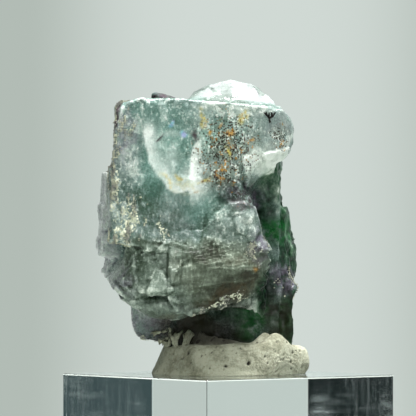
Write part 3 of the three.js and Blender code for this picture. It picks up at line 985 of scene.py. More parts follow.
        Patch((-0.2, -11, 13.6), (5.2, 8, 2.0), 15, 0.85, 0.4),
        Patch((-0.6, FRONT, 15.8), (4.6, 6, 1.8), 22, 0.65, 0.5),
        Patch((1.0, 0, 8.0), (6.0, 9, 3.4), 0, 0.5, 0.6),
        Patch((10.6, 0, 11.4), (4.2, 10, 5.2), 0, 0.7, 0.5),
    ),
    # Painted glare: the top crystal is painted pale where its facets reflect the overhead light.
    Marking.SNOW: (
        Patch((0.8, 4, 60.6), (10.5, 13, 4.4), 0, 1.0, 0.3),
        Patch((7.6, 2, 58.6), (4.6, 12, 1.8), 0, 1.0, 0.3),
    ),
    Marking.STAIN: (
        Patch((-0.6, FRONT, 17.2), (6.4, 5, 1.6), 23, 0.75, 0.6),
        Patch((-14.0, FRONT, 34.4), (5.6, 6, 5.4), 0, 0.16, 0.7),
        Patch((-11.1, FRONT, 23.2), (1.2, 5, 4.2), 0, 0.2, 0.5),
        Patch((3.4, -14, 24.4), (4.4, 5, 1.6), 14, 0.3, 0.6),
        Patch((-9.0, -8, 10.4), (6.0, 7, 2.4), 0, 0.8, 0.6),
    ),
    Marking.INK: (
        Patch((-6.7, FRONT, 50.8), (0.6, 5, 1.3), 0, 0.7, 0.7),
        Patch((-5.4, FRONT, 40.9), (0.45, 5, 0.4), 0, 0.9, 0.5),
        Patch((-13.4, -2, 58.6), (1.8, 4, 1.4), 0, 0.6, 0.5),
    ),
    Marking.IRIS: (
        Patch((-11.5, FRONT, 52.5), (0.45, 5, 0.8), 0, 1.0, 0.5),
        Patch((-8.8, FRONT, 50.9), (0.45, 5, 0.8), 0, 1.0, 0.5),
    ),
    Marking.ORANGE: (
        Patch((-1.1, FRONT, 53.8), (0.3, 5, 0.3), 0, 1.0, 0.5),
        Patch((-4.6, FRONT, 52.5), (0.25, 5, 0.7), 30, 0.9, 0.5),
        Patch((-1.2, FRONT, 52.1), (0.3, 5, 0.8), -20, 1.0, 0.5),
        Patch((-3.4, FRONT, 50.7), (0.45, 5, 0.5), 0, 1.0, 0.6),
        Patch((0.8, FRONT, 50.4), (0.7, 5, 0.5), 0, 0.9, 0.7),
        Patch((4.9, FRONT, 49.2), (0.4, 5, 0.45), 0, 1.0, 0.6),
        Patch((-1.5, FRONT, 42.8), (0.4, 5, 0.35), 0, 1.0, 0.6),
        Patch((0.9, FRONT, 40.0), (0.35, 5, 0.3), 0, 1.0, 0.6),
        Patch((-7.4, FRONT, 37.9), (0.35, 5, 0.4), 0, 0.9, 0.6),
        Patch((5.6, -13, 23.0), (0.8, 5, 0.5), 20, 0.45, 0.7),
    ),
    Marking.FAN: (
        Patch((1.0, FRONT, 31.4), (6.2, 5, 5.2), 0, 1.0, 0.3),
    ),
}


@dataclass
class Markings:
    """Shares of every marking over a set of places in millimetres, with ragged edges."""

    points: np.ndarray
    ragged: float = 0.9
    crisp: float = 0.3
    wave: float = 3.2
    moved: np.ndarray = field(init=False)
    near: np.ndarray = field(init=False)
    share: dict[Marking, np.ndarray] = field(init=False)

    def __post_init__(self) -> None:
        """Moves the places by layered noise, far for the patches and less for blades and facets.

        Every marking's share is then worked out once.
        """
        waves = noise_vectors(self.points, self.wave, seed=11, gap=7, layers=4)
        self.moved = self.points + self.ragged * waves
        self.near = self.points + self.crisp * waves
        self.share = {marking: self.strongest(marking) for marking in Marking}

    def shade(self) -> np.ndarray:
        """What the facets add to the crystal's value from dark to light, as painted light and shade that is
        partly the facets' own tone, shape (n,).
        """
        return np.sum([facet.shade * facet.shares(self.near) for facet in FACETS], axis=0)

    def heights(self) -> np.ndarray:
        """What the facets add to the relief in millimetres, shape (n,)."""
        return np.sum([facet.heights(self.near) for facet in FACETS], axis=0)

    def strongest(self, marking: Marking) -> np.ndarray:
        """Share of one marking at each place: the strongest of its patches and blades.

        Args:
            marking: The marking.

        Returns:
            Shares, 0 outside and up to a patch's or blade's weight inside, shape (n,).
        """
        patches = [patch.shares(self.moved) for patch in PATCHES[marking]]
        blades = [blade.shares(self.near) for blade in BLADES.get(marking, ())]
        return np.max([*patches, *blades], axis=0)


# Finishes


@dataclass(frozen=True)
class FluoriteFinish:
    """Translucent crystal with a cloudy body, clear glassy patches and an opaque sugary crust.

    One value from dark to light runs over the whole surface. Each family of hues is a ramp of that value.
    """

    body: Stops = (
        (0.22, tone(40, 60, 50)),
        (0.37, tone(74, 98, 84)),
        (0.5, tone(110, 131, 124)),
        (0.62, tone(150, 165, 160)),
        (0.78, tone(206, 217, 207)),
        (0.92, tone(240, 244, 238)),
    )
    teal: Stops = (
        (0.22, tone(40, 74, 64)),
        (0.4, tone(78, 122, 108)),
        (0.55, tone(124, 166, 155)),
        (0.7, tone(178, 208, 196)),
        (0.85, tone(232, 243, 236)),
    )
    lilac: Stops = (
        (0.25, tone(46, 38, 48)),
        (0.42, tone(87, 81, 93)),
        (0.58, tone(136, 133, 145)),
        (0.8, tone(206, 206, 208)),
    )
    green: Stops = (
        (0.28, tone(4, 13, 7)),
        (0.45, tone(13, 40, 21)),
        (0.6, tone(38, 70, 46)),
        (0.78, tone(106, 124, 106)),
        (0.9, tone(196, 202, 192)),
    )
    olive: Stops = (
        (0.25, tone(44, 44, 32)),
        (0.42, tone(82, 88, 72)),
        (0.56, tone(120, 130, 112)),
        (0.7, tone(168, 178, 160)),
        (0.86, tone(220, 224, 212)),
    )
    sugar: Stops = (
        (0.2, tone(78, 84, 68)),
        (0.45, tone(142, 150, 128)),
        (0.66, tone(188, 193, 168)),
        (0.85, tone(222, 221, 198)),
    )
    # Painted glare of the top crystal: pale grey that the overhead light drives to white.
    snow: Stops = (
        (0.16, tone(74, 86, 81)),
        (0.32, tone(108, 118, 113)),
        (0.5, tone(174, 178, 178)),
    )
    veil: Stops = (
        (0.3, tone(190, 216, 206)),
        (0.46, tone(230, 241, 234)),
        (0.62, tone(250, 251, 246)),
    )
    vivid: Colour = tone(16, 84, 34)
    amber: Colour = tone(220, 196, 92)
    orange: Colour = tone(184, 130, 30)
    brown: Colour = tone(58, 36, 26)
    stain: Colour = tone(86, 76, 54)
    ink: Colour = tone(66, 38, 52)
    iris: Colour = tone(176, 186, 228)
    cyan: Colour = tone(132, 198, 214)
    black: Colour = tone(30, 25, 13)
    glass: Colour = tone(220, 232, 224)
    ior: float = 1.434
    gloss: float = 0.2
    through: float = 0.4
    clear_through: float = 0.65
    absorption: Colour = tone(168, 214, 190)
    density: float = 26.0
    streak_size: float = 0.0006
    cloud_size: float = 0.006
    crack_size: float = 0.0034
    chip_size: float = 0.0011
    flake_size: float = 0.00036
    mottle_size: float = 0.003
    blotch_size: float = 0.0016
    stripe_size: float = 0.0011
    fringe_size: float = 0.002
    speck_size: float = 0.00042
    speck_hue_size: float = 0.0014
    fine_size: float = 0.0005
    sparkle_size: float = 0.0007
    wave_size: float = 0.0022
    clear_size: float = 0.004
    crust_size: float = 0.0007
    grain: float = 0.00042
    solid_shares: tuple[tuple[Marking, float], ...] = (
        (Marking.BROKEN, 0.5),
        (Marking.VEIL, 0.8),
        (Marking.RUST, 0.6),
    )

    def colours(self, graph: Graph) -> Socket:
        """The body's colour: each hue family of the one value, laid over the last by its marking's share.

        Args:
            graph: The material's graph.

        Returns:
            The colour.
        """
        share = {marking: graph.attribute(marking.value) for marking in Marking}
        value = self.value(graph, share)
        level = graph.stretched((0.2, 0.2, 1.0), (0.0, 7.0, 0.0))
        stripes = graph.noise(self.stripe_size, 3.0, 0.6, level)
        patchy = graph.noise(self.blotch_size, 3.0, 0.6).step(0.32, 0.6)
        fringe = graph.blend(graph.noise(self.fringe_size).step(0.34, 0.52), self.iris, self.cyan)
        inked = share[Marking.INK] * (patchy * 0.6 + 0.7)
        coats = (
            (share[Marking.GLOW], graph.ramp(value, self.teal)),
            (share[Marking.VEIL] * 0.9, graph.ramp(value, self.veil)),
            (share[Marking.BROKEN] * 0.6, graph.ramp(value, self.olive)),
            (share[Marking.LAYERS] * 0.8, graph.ramp(value + stripes * 0.3 - 0.18, self.olive)),
            (share[Marking.EMERALD], graph.ramp(value, self.green)),
            (share[Marking.VIVID] * patchy, self.vivid),
            (share[Marking.VIOLET] * patchy, graph.ramp(value, self.lilac)),
            (share[Marking.RUST] * patchy * 0.7, graph.ramp(value, self.olive)),
            # Painted glare of the top crystal.
            (share[Marking.SNOW], graph.ramp(value, self.snow)),
            (share[Marking.STAIN] * patchy, self.stain),
            (share[Marking.AMBER] * patchy, self.amber),
            (share[Marking.ORANGE] * patchy, self.orange),
            (self.specks(graph, share[Marking.RUST]), self.speck_colour(graph)),
            (share[Marking.IRIS], fringe),
            (inked.limited(), self.ink),
            # Painted shadow: near black under the overhang and along the rim.
            (share[Marking.SOOT] * 0.92, self.black),
        )
        colour = graph.ramp(value, self.body)
        for amount, paint in coats:
            colour = graph.blend(amount, colour, paint)
        return colour

    def value(self, graph: Graph, share: dict[Marking, Socket]) -> Socket:
        """From dark to light: clouds, upright streaks and flakes, moved up or down by the markings, with
        painted highlight on edges and glints and painted shade in creases.

        Args:
            graph: The material's graph.
            share: Each marking's share.

        Returns:
            A value from 0 to 1, 0.5 in the middle.
        """
        leaning = graph.stretched((1.0, 1.0, 0.42), (0.0, -4.0, 0.0))
        upright = graph.noise(self.streak_size, 3.0, 0.62, leaning)
        clouds = graph.noise(self.cloud_size, 4.0, 0.6)
        cracked = graph.grey(graph.cells(self.crack_size, "Color", leaning))
        flakes = graph.grey(graph.cells(self.flake_size, "Color"))
        frost, rust = share[Marking.FROST], share[Marking.RUST]
        dashes = upright.step(0.58, 0.66) * (0.04 + frost * 0.13 + rust * 0.18)
        chips = (graph.grey(graph.cells(self.chip_size, "Color", leaning)) > 0.84) * frost * 0.15
        glints = chips + (flakes > 0.88) * (0.03 + frost * 0.16 + rust * 0.2)
        # The pale marking lifts the value, partly as painted highlight; the glow marking lifts it as painted
        # glow.
        lift = share[Marking.PALE] * 0.1 + share[Marking.GLOW] * 0.05
        # The dark marking lowers the value, partly as painted shade.
        drop = share[Marking.DARK] * 0.08
        # Painted highlight on convex edges and painted shade in creases.
        edge = graph.attribute("edge")
        edge_light_and_crease_shade = edge.step(0.12, 0.8) * 0.16 - (0.0 - edge).step(0.12, 0.8) * 0.18
        edge_light_and_crease_shade = edge_light_and_crease_shade * (1.0 - (share[Marking.LAYERS] + share[Marking.EMERALD]).limited() * 0.7)
        calm = 1.0 - share[Marking.VIOLET] * 0.7
        ground = clouds * 0.4 + cracked * 0.09 + (upright - 0.5) * 0.3 * calm + 0.23
        mottled = (graph.noise(self.mottle_size, 5.0, 0.75) - 0.5) * 0.95 * share[Marking.EMERALD]
        return ground + dashes + glints + lift + edge_light_and_crease_shade + mottled - drop + graph.attribute("shade")

    def specks(self, graph: Graph, share: Socket) -> Socket:
        """Where rusty specks lie: blots of fine noise and small cells, more where the marking is strong."""
        blots = (graph.noise(self.speck_size, 3.0, 0.65) + share * 0.12).step(0.66, 0.7)
        distance = graph.cells(self.speck_size)
        chance = graph.grey(graph.cells(self.speck_size, "Color"))
        dots = (chance < share * 0.6) * (1.0 - distance.step(0.36, 0.5))
        return share.step(0.05, 0.5) * blots.larger(dots)

    def speck_colour(self, graph: Graph) -> Socket:
        """Colour of the specks, from black through brown to orange, by patches."""
        stops = ((0.42, self.black), (0.54, self.brown), (0.66, self.orange))
        return graph.ramp(graph.noise(self.speck_hue_size, 3.0, 0.6), stops)

    def sparkle(self, graph: Graph, size: float, tilt: float) -> Socket:
        """Normals tilted a little, each cell in its own direction, so that grains catch the light.

        Args:
            graph: The material's graph.
            size: Cell size in metres.
            tilt: How far the normals lean.

        Returns:
            The normals.
        """
        normal = graph.node("ShaderNodeNewGeometry", {}, {}, "Normal")
        colour = graph.cells(size, "Color")
        lean = graph.vector("SUBTRACT", {0: colour, 1: (0.5, 0.5, 0.5)})
        lean = graph.vector("SCALE", {0: lean, "Scale": tilt})
        return graph.vector("NORMALIZE", {0: graph.vector("ADD", {0: normal, 1: lean})})

    def material(self) -> bpy.types.Material:
        """The material of the cluster.

        Returns:
            A mix of cloudy crystal, clear crystal, dark green crystal and crust, with absorption inside.
        """
        material, graph = new_material("fluorite")
        colour = self.colours(graph)
        fine = graph.noise(self.fine_size, 4.0, 0.6)
        dull = graph.attribute(Marking.LAYERS.value) * 0.3
        normal = graph.bump(fine, 0.0001, 0.6, self.sparkle(graph, self.sparkle_size, 0.2))
        cloudy = {
            "Base Color": colour,
            "Roughness": 0.1 + fine * 0.35 + dull,
            "IOR": self.ior,
            "Specular IOR Level": self.gloss,
            "Transmission Weight": self.through,
            "Normal": normal,
        }
        clear = {
            "Base Color": graph.blend(graph.noise(self.clear_size).step(0.4, 0.7), self.glass, colour),
            "Roughness": 0.04 + fine * 0.12,
            "IOR": self.ior,
            "Transmission Weight": self.clear_through,
            "Normal": graph.bump(graph.noise(self.wave_size), 0.0004),
        }
        deep = {
            "Base Color": colour,
            "Roughness": 0.15 + fine * 0.4 + dull,
            "IOR": self.ior,
            "Specular IOR Level": self.gloss,
            "Normal": graph.bump(fine, 0.0001, 0.6),
        }
        grain = graph.grey(graph.cells(self.grain, "Color"))
        sweet = graph.noise(self.crust_size, 3.0, 0.7)
        crust = {
            "Base Color": graph.ramp(grain * 0.6 + sweet * 0.5, self.sugar),
            "Roughness": 0.6,
            "Normal": graph.bump(sweet, 0.0003, 1.0, self.sparkle(graph, self.grain, 0.8)),
        }
        upright = graph.noise(self.crust_size, 4.0, 0.72, graph.stretched((1.0, 1.0, 0.4)))
        crusted = (graph.attribute(Marking.CRUST.value) * 1.5 - upright + grain * 0.5).step(0.5, 0.56)
        glassy = graph.attribute(Marking.GLASS.value)
        solid = graph.attribute(Marking.EMERALD.value)
        for marking, weight in self.solid_shares:
            solid = solid + graph.attribute(marking.value) * weight
        shader = graph.between(glassy, graph.principled(cloudy), graph.principled(clear))
        shader = graph.between(solid.limited(), shader, graph.principled(deep))
        shader = graph.between(crusted, shader, graph.principled(crust))
        graph.surface(shader, graph.absorption(self.absorption, self.density))
        return material


@dataclass(frozen=True)
class CrustFinish:
    """Nearly opaque sugary crystals, cream to grey."""

    cream: Colour = tone(206, 206, 180)
    grey: Colour = tone(136, 136, 130)
    ior: float = 1.434
    through: float = 0.15
    hue_size: float = 0.002
    gloss_size: float = 0.0012

    def material(self) -> bpy.types.Material:
        """The crust's material, with a colour that changes from grain to grain."""
        material, graph = new_material("drusy_crust")
        mixed = graph.noise(self.hue_size, 3.0, 0.7).step(0.38, 0.62)
        values = {
            "Base Color": graph.blend(mixed, self.grey, self.cream),
            "Roughness": 0.2 + graph.noise(self.gloss_size) * 0.4,
            "IOR": self.ior,
            "Transmission Weight": self.through,
        }
        graph.surface(graph.principled(values))
        return material


@dataclass(frozen=True)
class DendriteFinish:
    """Dull black mineral film."""

    film: Colour = tone(10, 9, 8)
    rusty: Colour = tone(26, 20, 15)
    stain_size: float = 0.0006

    def material(self) -> bpy.types.Material:
        """The film's material, a little browner in places."""
        material, graph = new_material("dendrite")
        stain = graph.noise(self.stain_size).step(0.4, 0.7)
        values = {
            "Base Color": graph.blend(stain, self.film, self.rusty),
            "Roughness": 0.6,
            "Specular IOR Level": 0.1,
        }
        graph.surface(graph.principled(values))
        return material


@dataclass(frozen=True)
class PuttyFinish:
    """Matt beige-grey putty with darker dirt in its pits, and painted shadow on its inner top at the left,
    under the crystal.
    """

    clay: Colour = tone(182, 182, 160)
    shade: Colour = tone(129, 129, 107)
    dirt_and_shadow: Colour = tone(50, 46, 38)
    finger: Place = (0.026, -0.016, 0.016)
    finger_reach: tuple[float, float] = (0.018, 0.023)
    ridge: float = 0.00046
    smear_size: float = 0.005
    mottle_size: float = 0.0007
    fine_size: float = 0.0004
    press_size: float = 0.006

    def material(self) -> bpy.types.Material:
        """The putty's material, with the ridges of a finger pressed into it in rings around one point."""
        material, graph = new_material("mounting_putty")
        smear = graph.noise(self.smear_size, 4.0, 0.6) + graph.noise(self.mottle_size, 3.0, 0.7) * 0.5
        colour = graph.blend(smear.step(0.62, 0.94), self.clay, self.shade)
        # The pits numbers carry dirt in the pits and painted shadow under the crystal.
        dirt_and_shadow_share = (graph.attribute("pits") * 1.2).limited()
        colour = graph.blend(dirt_and_shadow_share, colour, self.dirt_and_shadow)
        fine = graph.noise(self.fine_size, 4.0, 0.65)
        swirl = graph.distance(self.finger)
        wave = graph.node("ShaderNodeMath", {"operation": "SINE"}, {0: swirl * (2 * math.pi / self.ridge)})
        pressed = graph.noise(self.press_size).step(0.38, 0.56) * (1.0 - swirl.step(*self.finger_reach))
        ridges = wave * 0.5 * pressed
        values = {
            "Base Color": colour,
            "Roughness": 0.72 + fine * 0.2,
            "Normal": graph.bump(fine + ridges * 0.8, 0.0003, 1.0),
        }
        graph.surface(graph.principled(values))
        return material


@dataclass(frozen=True)
class AcrylicFinish:
    """Clear polished acrylic with faint smudges."""

    clear: Colour = (0.955, 0.985, 0.975)
    film: Colour = tone(186, 198, 200)
    corners: tuple[Place, Place] = ((-0.0354, 0.0, 0.0125), (0.0354, 0.0, 0.0125))
    corner_reach: tuple[float, float] = (0.024, 0.028)
    ior: float = 1.49
    absorption: Colour = (0.72, 0.7, 0.7)
    density: float = 13.0
    smudge_size: float = 0.011
    wipe_size: float = 0.0018
    run_size: float = 0.0012
    dust_size: float = 0.0005
    breath_size: float = 0.02

    def material(self) -> bpy.types.Material:
        """The block's material: smears and dust lie near the side corners, where it is held."""
        material, graph = new_material("clear_acrylic")
        smudge = graph.noise(self.smudge_size, 5.0, 0.62).step(0.5, 0.75)
        level = graph.stretched((0.1, 0.1, 1.0), (0.0, 3.0, 0.0))
        wiped = graph.noise(self.wipe_size, 4.0, 0.6, level).step(0.46, 0.72)
        upright = graph.stretched((1.0, 1.0, 0.08))
        runs = graph.noise(self.run_size, 3.0, 0.6, upright).step(0.45, 0.75)
        dust = graph.noise(self.dust_size, 3.0, 0.6).step(0.56, 0.72)
        left, right = (1.0 - graph.distance(corner).step(*self.corner_reach) for corner in self.corners)
        held = left + right
        values = {
            "Base Color": self.clear,
            "Roughness": 0.006 + (smudge + wiped) * held * 0.05,
            "IOR": self.ior,
            "Transmission Weight": 1.0,
        }
        haze = {"Base Color": self.film, "Roughness": 0.5, "Transmission Weight": 0.5, "IOR": self.ior}
        misty = smudge * 0.16 + wiped * 0.4 * graph.noise(self.breath_size).step(0.35, 0.6)
        misty = (misty + runs * 0.12 + dust * 0.14) * held
        shader = graph.between(misty, graph.principled(values), graph.principled(haze))
        graph.surface(shader, graph.absorption(self.absorption, self.density))
        return material


# Sub-assemblies


@dataclass
class FluoriteCluster:
    """The crystals: the solid's shape with growth steps, layers, crust and ripples worked into it."""

    source: bpy.types.Object
    top: float
    voxel: float = 0.00036
    lean: float = 4.2
    seed: int = 5
    edge_height: float = 0.06
    edge_spread: float = 0.6
    edge_rounds: int = 2
    warp_cell: float = 2.6
    warp: float = 0.35
    step_cells: tuple[Place, Place] = ((4.3, 4.3, 5.1), (1.5, 1.5, 2.2))
    step_heights: tuple[float, float] = (0.26, 0.16)
    facet_cells: tuple[float, float] = (4.4, 1.5)
    facet_heights: tuple[float, float] = (0.5, 0.14)
    facet_slope: float = 0.6
    layer_pitch: float = 0.8
    layer_tilt: float = 10.0
    layer_height: float = 0.13
    fan_centre: tuple[float, float] = (-6.4, 26.7)
    fan_ribs: float = 4.5
    rib_height: float = 0.18
    rough_cell: float = 4.6
    rough_height: float = 0.8
    crust_cell: float = 0.95
    crust_height: float = 0.6
    ripple_centre: Place = (4.0, -22.0, 44.0)
    ripple_rate: float = 2.6
    ripple_height: float = 0.1
    swell_cell: float = 7.0
    swell_height: float = 0.175
    worn_places: tuple[Patch, ...] = (
        Patch((-16.4, -1, 10.6), (6.4, 10, 5.0), 0, 1.0, 0.3),
        Patch((-21.0, -16, 31.0), (6.0, 4, 2.6), 0, 1.0, 0.4),
        Patch((0.0, FRONT, 27.0), (9.0, 4, 1.7), 4, 1.0, 0.4),
        Patch((14.6, 3, 28.2), (2.6, 14, 3.2), 0, 1.0, 0.4),
    )
    wear: int = 70
    wear_share: float = 0.8
    grain_count: int = 2200
    grain_size: tuple[float, float] = (0.12, 0.34)
    grain_uneven: tuple[float, float] = (0.7, 1.3)
    grain_spin: float = 0.35
    grain_skew: float = 0.2
    grain_lift: float = 0.1
    clump_cell: float = 1.3
    clump_squeeze: Place = (1.0, 1.0, 0.45)
    finish: FluoriteFinish = field(default_factory=FluoriteFinish)
    piece: bpy.types.Object | None = None

    def build(self) -> None:
        """Makes the crystals and the crust on them."""
        self.piece = self.remeshed()
        points, normals = self.arrays()
        points = self.worn(points)
        markings = Markings(points)
        moved = points + normals * self.relief(points, markings)[:, None]
        self.write(moved, markings.share[Marking.BROKEN] > 0.5)
        for marking, share in markings.share.items():
            set_numbers(self.piece, marking.value, share)
        # The material paints highlight on these edges and shade in the creases.
        set_numbers(self.piece, "edge", self.edges(moved, normals))
        set_numbers(self.piece, "shade", markings.shade())
        dress(self.piece, self.finish.material(), "fluorite_cluster")
        crust = self.crust(moved, normals, markings.share[Marking.CRUST])
        dress(crust, CrustFinish().material())

    def remeshed(self) -> bpy.types.Object:
        """A copy of the solid with its points merged and its surface made of even, fine faces.

        Returns:
            The new object.
        """
        mesh = self.source.data.copy()
        merged = bmesh.new()
        merged.from_mesh(mesh)
        bmesh.ops.remove_doubles(merged, verts=merged.verts, dist=1e-6)
        merged.to_mesh(mesh)
        merged.free()
        rough = bpy.data.objects.new("rough", mesh)
        bpy.context.scene.collection.objects.link(rough)
        remesh = rough.modifiers.new("even", "REMESH")
        remesh.mode = "VOXEL"
        remesh.voxel_size = self.voxel
        shown = rough.evaluated_get(bpy.context.evaluated_depsgraph_get())
        even = bpy.data.meshes.new_from_object(shown)
        bpy.data.objects.remove(rough)
        even.name = "fluorite_crystals"
        even.materials.clear()
        made = bpy.data.objects.new("fluorite_crystals", even)
        bpy.context.scene.collection.objects.link(made)
        return made

    def arrays(self) -> tuple[np.ndarray, np.ndarray]:
        """Points in millimetres from the block's top, and normals.

        Returns:
            Two arrays of shape (n, 3).
        """
        mesh = self.piece.data
        points = np.empty(len(mesh.vertices) * 3)
        normals = np.empty(len(mesh.vertices) * 3)
        mesh.vertices.foreach_get("co", points)
        mesh.vertex_normals.foreach_get("vector", normals)
        return points.reshape(-1, 3) / MM - np.array([0, 0, self.top / MM]), normals.reshape(-1, 3)

    def relief(self, points: np.ndarray, markings: Markings) -> np.ndarray:
        """Height added along the normals, in millimetres.

        Flat-topped growth steps come from a random height for each cell of two grids that lie along the
        cubes' axes. Layers are a saw wave that runs down the broken front, and ribs are a saw wave of
        the bearing from one point. Crust is round bumps around scattered points. Ripples are sine waves
        of the distance from one point.

        Args:
            points: Places in millimetres, shape (n, 3).
            markings: The markings at those places.

        Returns:
            Heights, shape (n,).
        """
        names = (Marking.LAYERS, Marking.GLASS, Marking.BROKEN, Marking.EMERALD)
        layers, glass, broken, emerald = (markings.share[name] for name in names)
        along = turn_y(points, -self.lean)
        warped = along + self.warp * noise_vectors(along, self.warp_cell, seed=90)
        large, small = (
            cell_random(np.floor(warped / np.array(cell)), seed=3 + k) - 0.5
            for k, cell in enumerate(self.step_cells)
        )
        growth = self.step_heights[0] * large + self.step_heights[1] * small
        coarse, fine = (
            height * cell_planes(points, cell, seed=40 + 30 * k, slope=self.facet_slope)
            for k, (cell, height) in enumerate(zip(self.facet_cells, self.facet_heights))
        )
        level = turn_y(warped, self.layer_tilt)[:, 2] / self.layer_pitch
        level = level + 0.5 * layered_noise(points, 3.0, seed=17)
        saw = (level - np.floor(level)) - 0.5
        aside, above = (points[:, [0, 2]] - np.array(self.fan_centre)).T
        bearing = np.arctan2(above, aside) * self.fan_ribs + layered_noise(points, 4.0, seed=37)
        ribs = (bearing - np.floor(bearing)) - 0.5
        bumps = 0.5 - cell_distance(points, self.crust_cell, seed=8)
        reach = np.linalg.norm(points - np.array(self.ripple_centre), axis=1)
        calm = (1 - layers) * (1 - glass) * (1 - broken) * (1 - 0.5 * emerald)
        return (
            self.swell_height * layered_noise(points, self.swell_cell, seed=23)
            + markings.heights()
            + growth * calm
            + (coarse + fine) * broken * (1 - 0.5 * layers)
            + self.layer_height * saw * layers
            + self.rib_height * ribs * markings.share[Marking.FAN]
            + self.rough_height * layered_noise(points, self.rough_cell, seed=29, layers=5) * emerald
            + self.crust_height * bumps * markings.share[Marking.CRUST]
            + self.ripple_height * np.sin(reach * self.ripple_rate) * glass
        )

    def write(self, points: np.ndarray, faceted: np.ndarray) -> None:
        """Puts moved points back into the mesh, and shades it smooth except where it is faceted.

        Args:
            points: Places in millimetres.
            faceted: Whether the faces at each point are flat.
        """
        mesh = self.piece.data
        places = (points + np.array([0, 0, self.top / MM])) * MM
        mesh.vertices.foreach_set("co", places.astype(np.float32).ravel())
        firsts = np.empty(len(mesh.polygons), dtype=np.int32)
        corners = np.empty(len(mesh.loops), dtype=np.int32)
        mesh.polygons.foreach_get("loop_start", firsts)
        mesh.loops.foreach_get("vertex_index", corners)
        mesh.polygons.foreach_set("use_smooth", ~faceted[corners[firsts]])
        mesh.update()

    def worn(self, points: np.ndarray) -> np.ndarray:
        """Points with the worn places rounded: each is drawn to its neighbours' middle, many times.

        Args:
            points: Places in millimetres.

        Returns:
            The rounded places.
        """
        share = self.wear_share * np.max([place.shares(points) for place in self.worn_places], axis=0)
        for _ in range(self.wear):
            points = points + share[:, None] * (self.around(points) - points)
        return points

    def around(self, values: np.ndarray) -> np.ndarray:
        """Mean of each point's neighbours along the mesh's edges.

        Args:
            values: One row of numbers for each point, shape (n, k).

        Returns:
            The means, shape (n, k).
        """
        mesh = self.piece.data
        pairs = np.empty(len(mesh.edges) * 2, dtype=np.int32)
        mesh.edges.foreach_get("vertices", pairs)
        first, second = pairs.reshape(-1, 2).T
        size = len(values)
        ahead = [np.bincount(first, column[second], size) for column in values.T]
        behind = [np.bincount(second, column[first], size) for column in values.T]
        return np.transpose(np.add(ahead, behind) / np.bincount(pairs, minlength=size))

    def edges(self, points: np.ndarray, normals: np.ndarray) -> np.ndarray:
        """How far each point stands out from its neighbours' middle, spread a little: edges above 0.

        Args:
            points: Places in millimetres.
            normals: Their normals.

        Returns:
            Numbers of about -1 in a crease to 1 on an edge.
        """
        out = np.sum((points - self.around(points)) * normals, axis=1, keepdims=True) / self.edge_height
        for _ in range(self.edge_rounds):
            out = (1 - self.edge_spread) * out + self.edge_spread * self.around(out)
        return np.clip(out[:, 0], -1, 1)

    def crust(self, points: np.ndarray, normals: np.ndarray, shares: np.ndarray) -> bpy.types.Object:
        """Small cubes scattered over the crust, each a box lined up with the cubes and jittered.

        Args:
            points: The crystals' points in millimetres.
            normals: Their normals.
            shares: How strongly the crust shows at each point.

        Returns:
            The joined cubes.
        """
        draw = np.random.default_rng(self.seed)
        count = self.grain_count
        clumps = layered_noise(points * np.array(self.clump_squeeze), self.clump_cell, seed=83)
        chance = shares**2 * fade(clumps, 0.0, 0.6)
        chosen = draw.choice(len(points), count, replace=False, p=chance / np.sum(chance))
        sizes = draw.uniform(*self.grain_size, (count, 1, 1))
        sides = sizes * draw.uniform(*self.grain_uneven, (count, 1, 3))
        corners = np.array(list(np.ndindex(2, 2, 2))) - 0.5
        boxes = corners[None] * sides
        spin = draw.uniform(-self.grain_spin, self.grain_spin, count)
        cosine, sine = np.cos(spin)[:, None], np.sin(spin)[:, None]
        x, y, z = boxes[..., 0], boxes[..., 1], boxes[..., 2]
        skewed = z + self.grain_skew * x
        turned = np.stack([x * cosine - y * sine, x * sine + y * cosine, skewed], axis=-1)
        placed = turned + (points[chosen] + self.grain_lift * normals[chosen])[:, None]
        numbers = np.arange(count)[:, None, None] * len(corners)
        joined = (numbers + np.array(BOX_FACES)[None]).reshape(-1, 4)
        places = (placed.reshape(-1, 3) + np.array([0, 0, self.top / MM])) * MM
        return mesh_object("drusy_crust", places, joined, smooth=False)


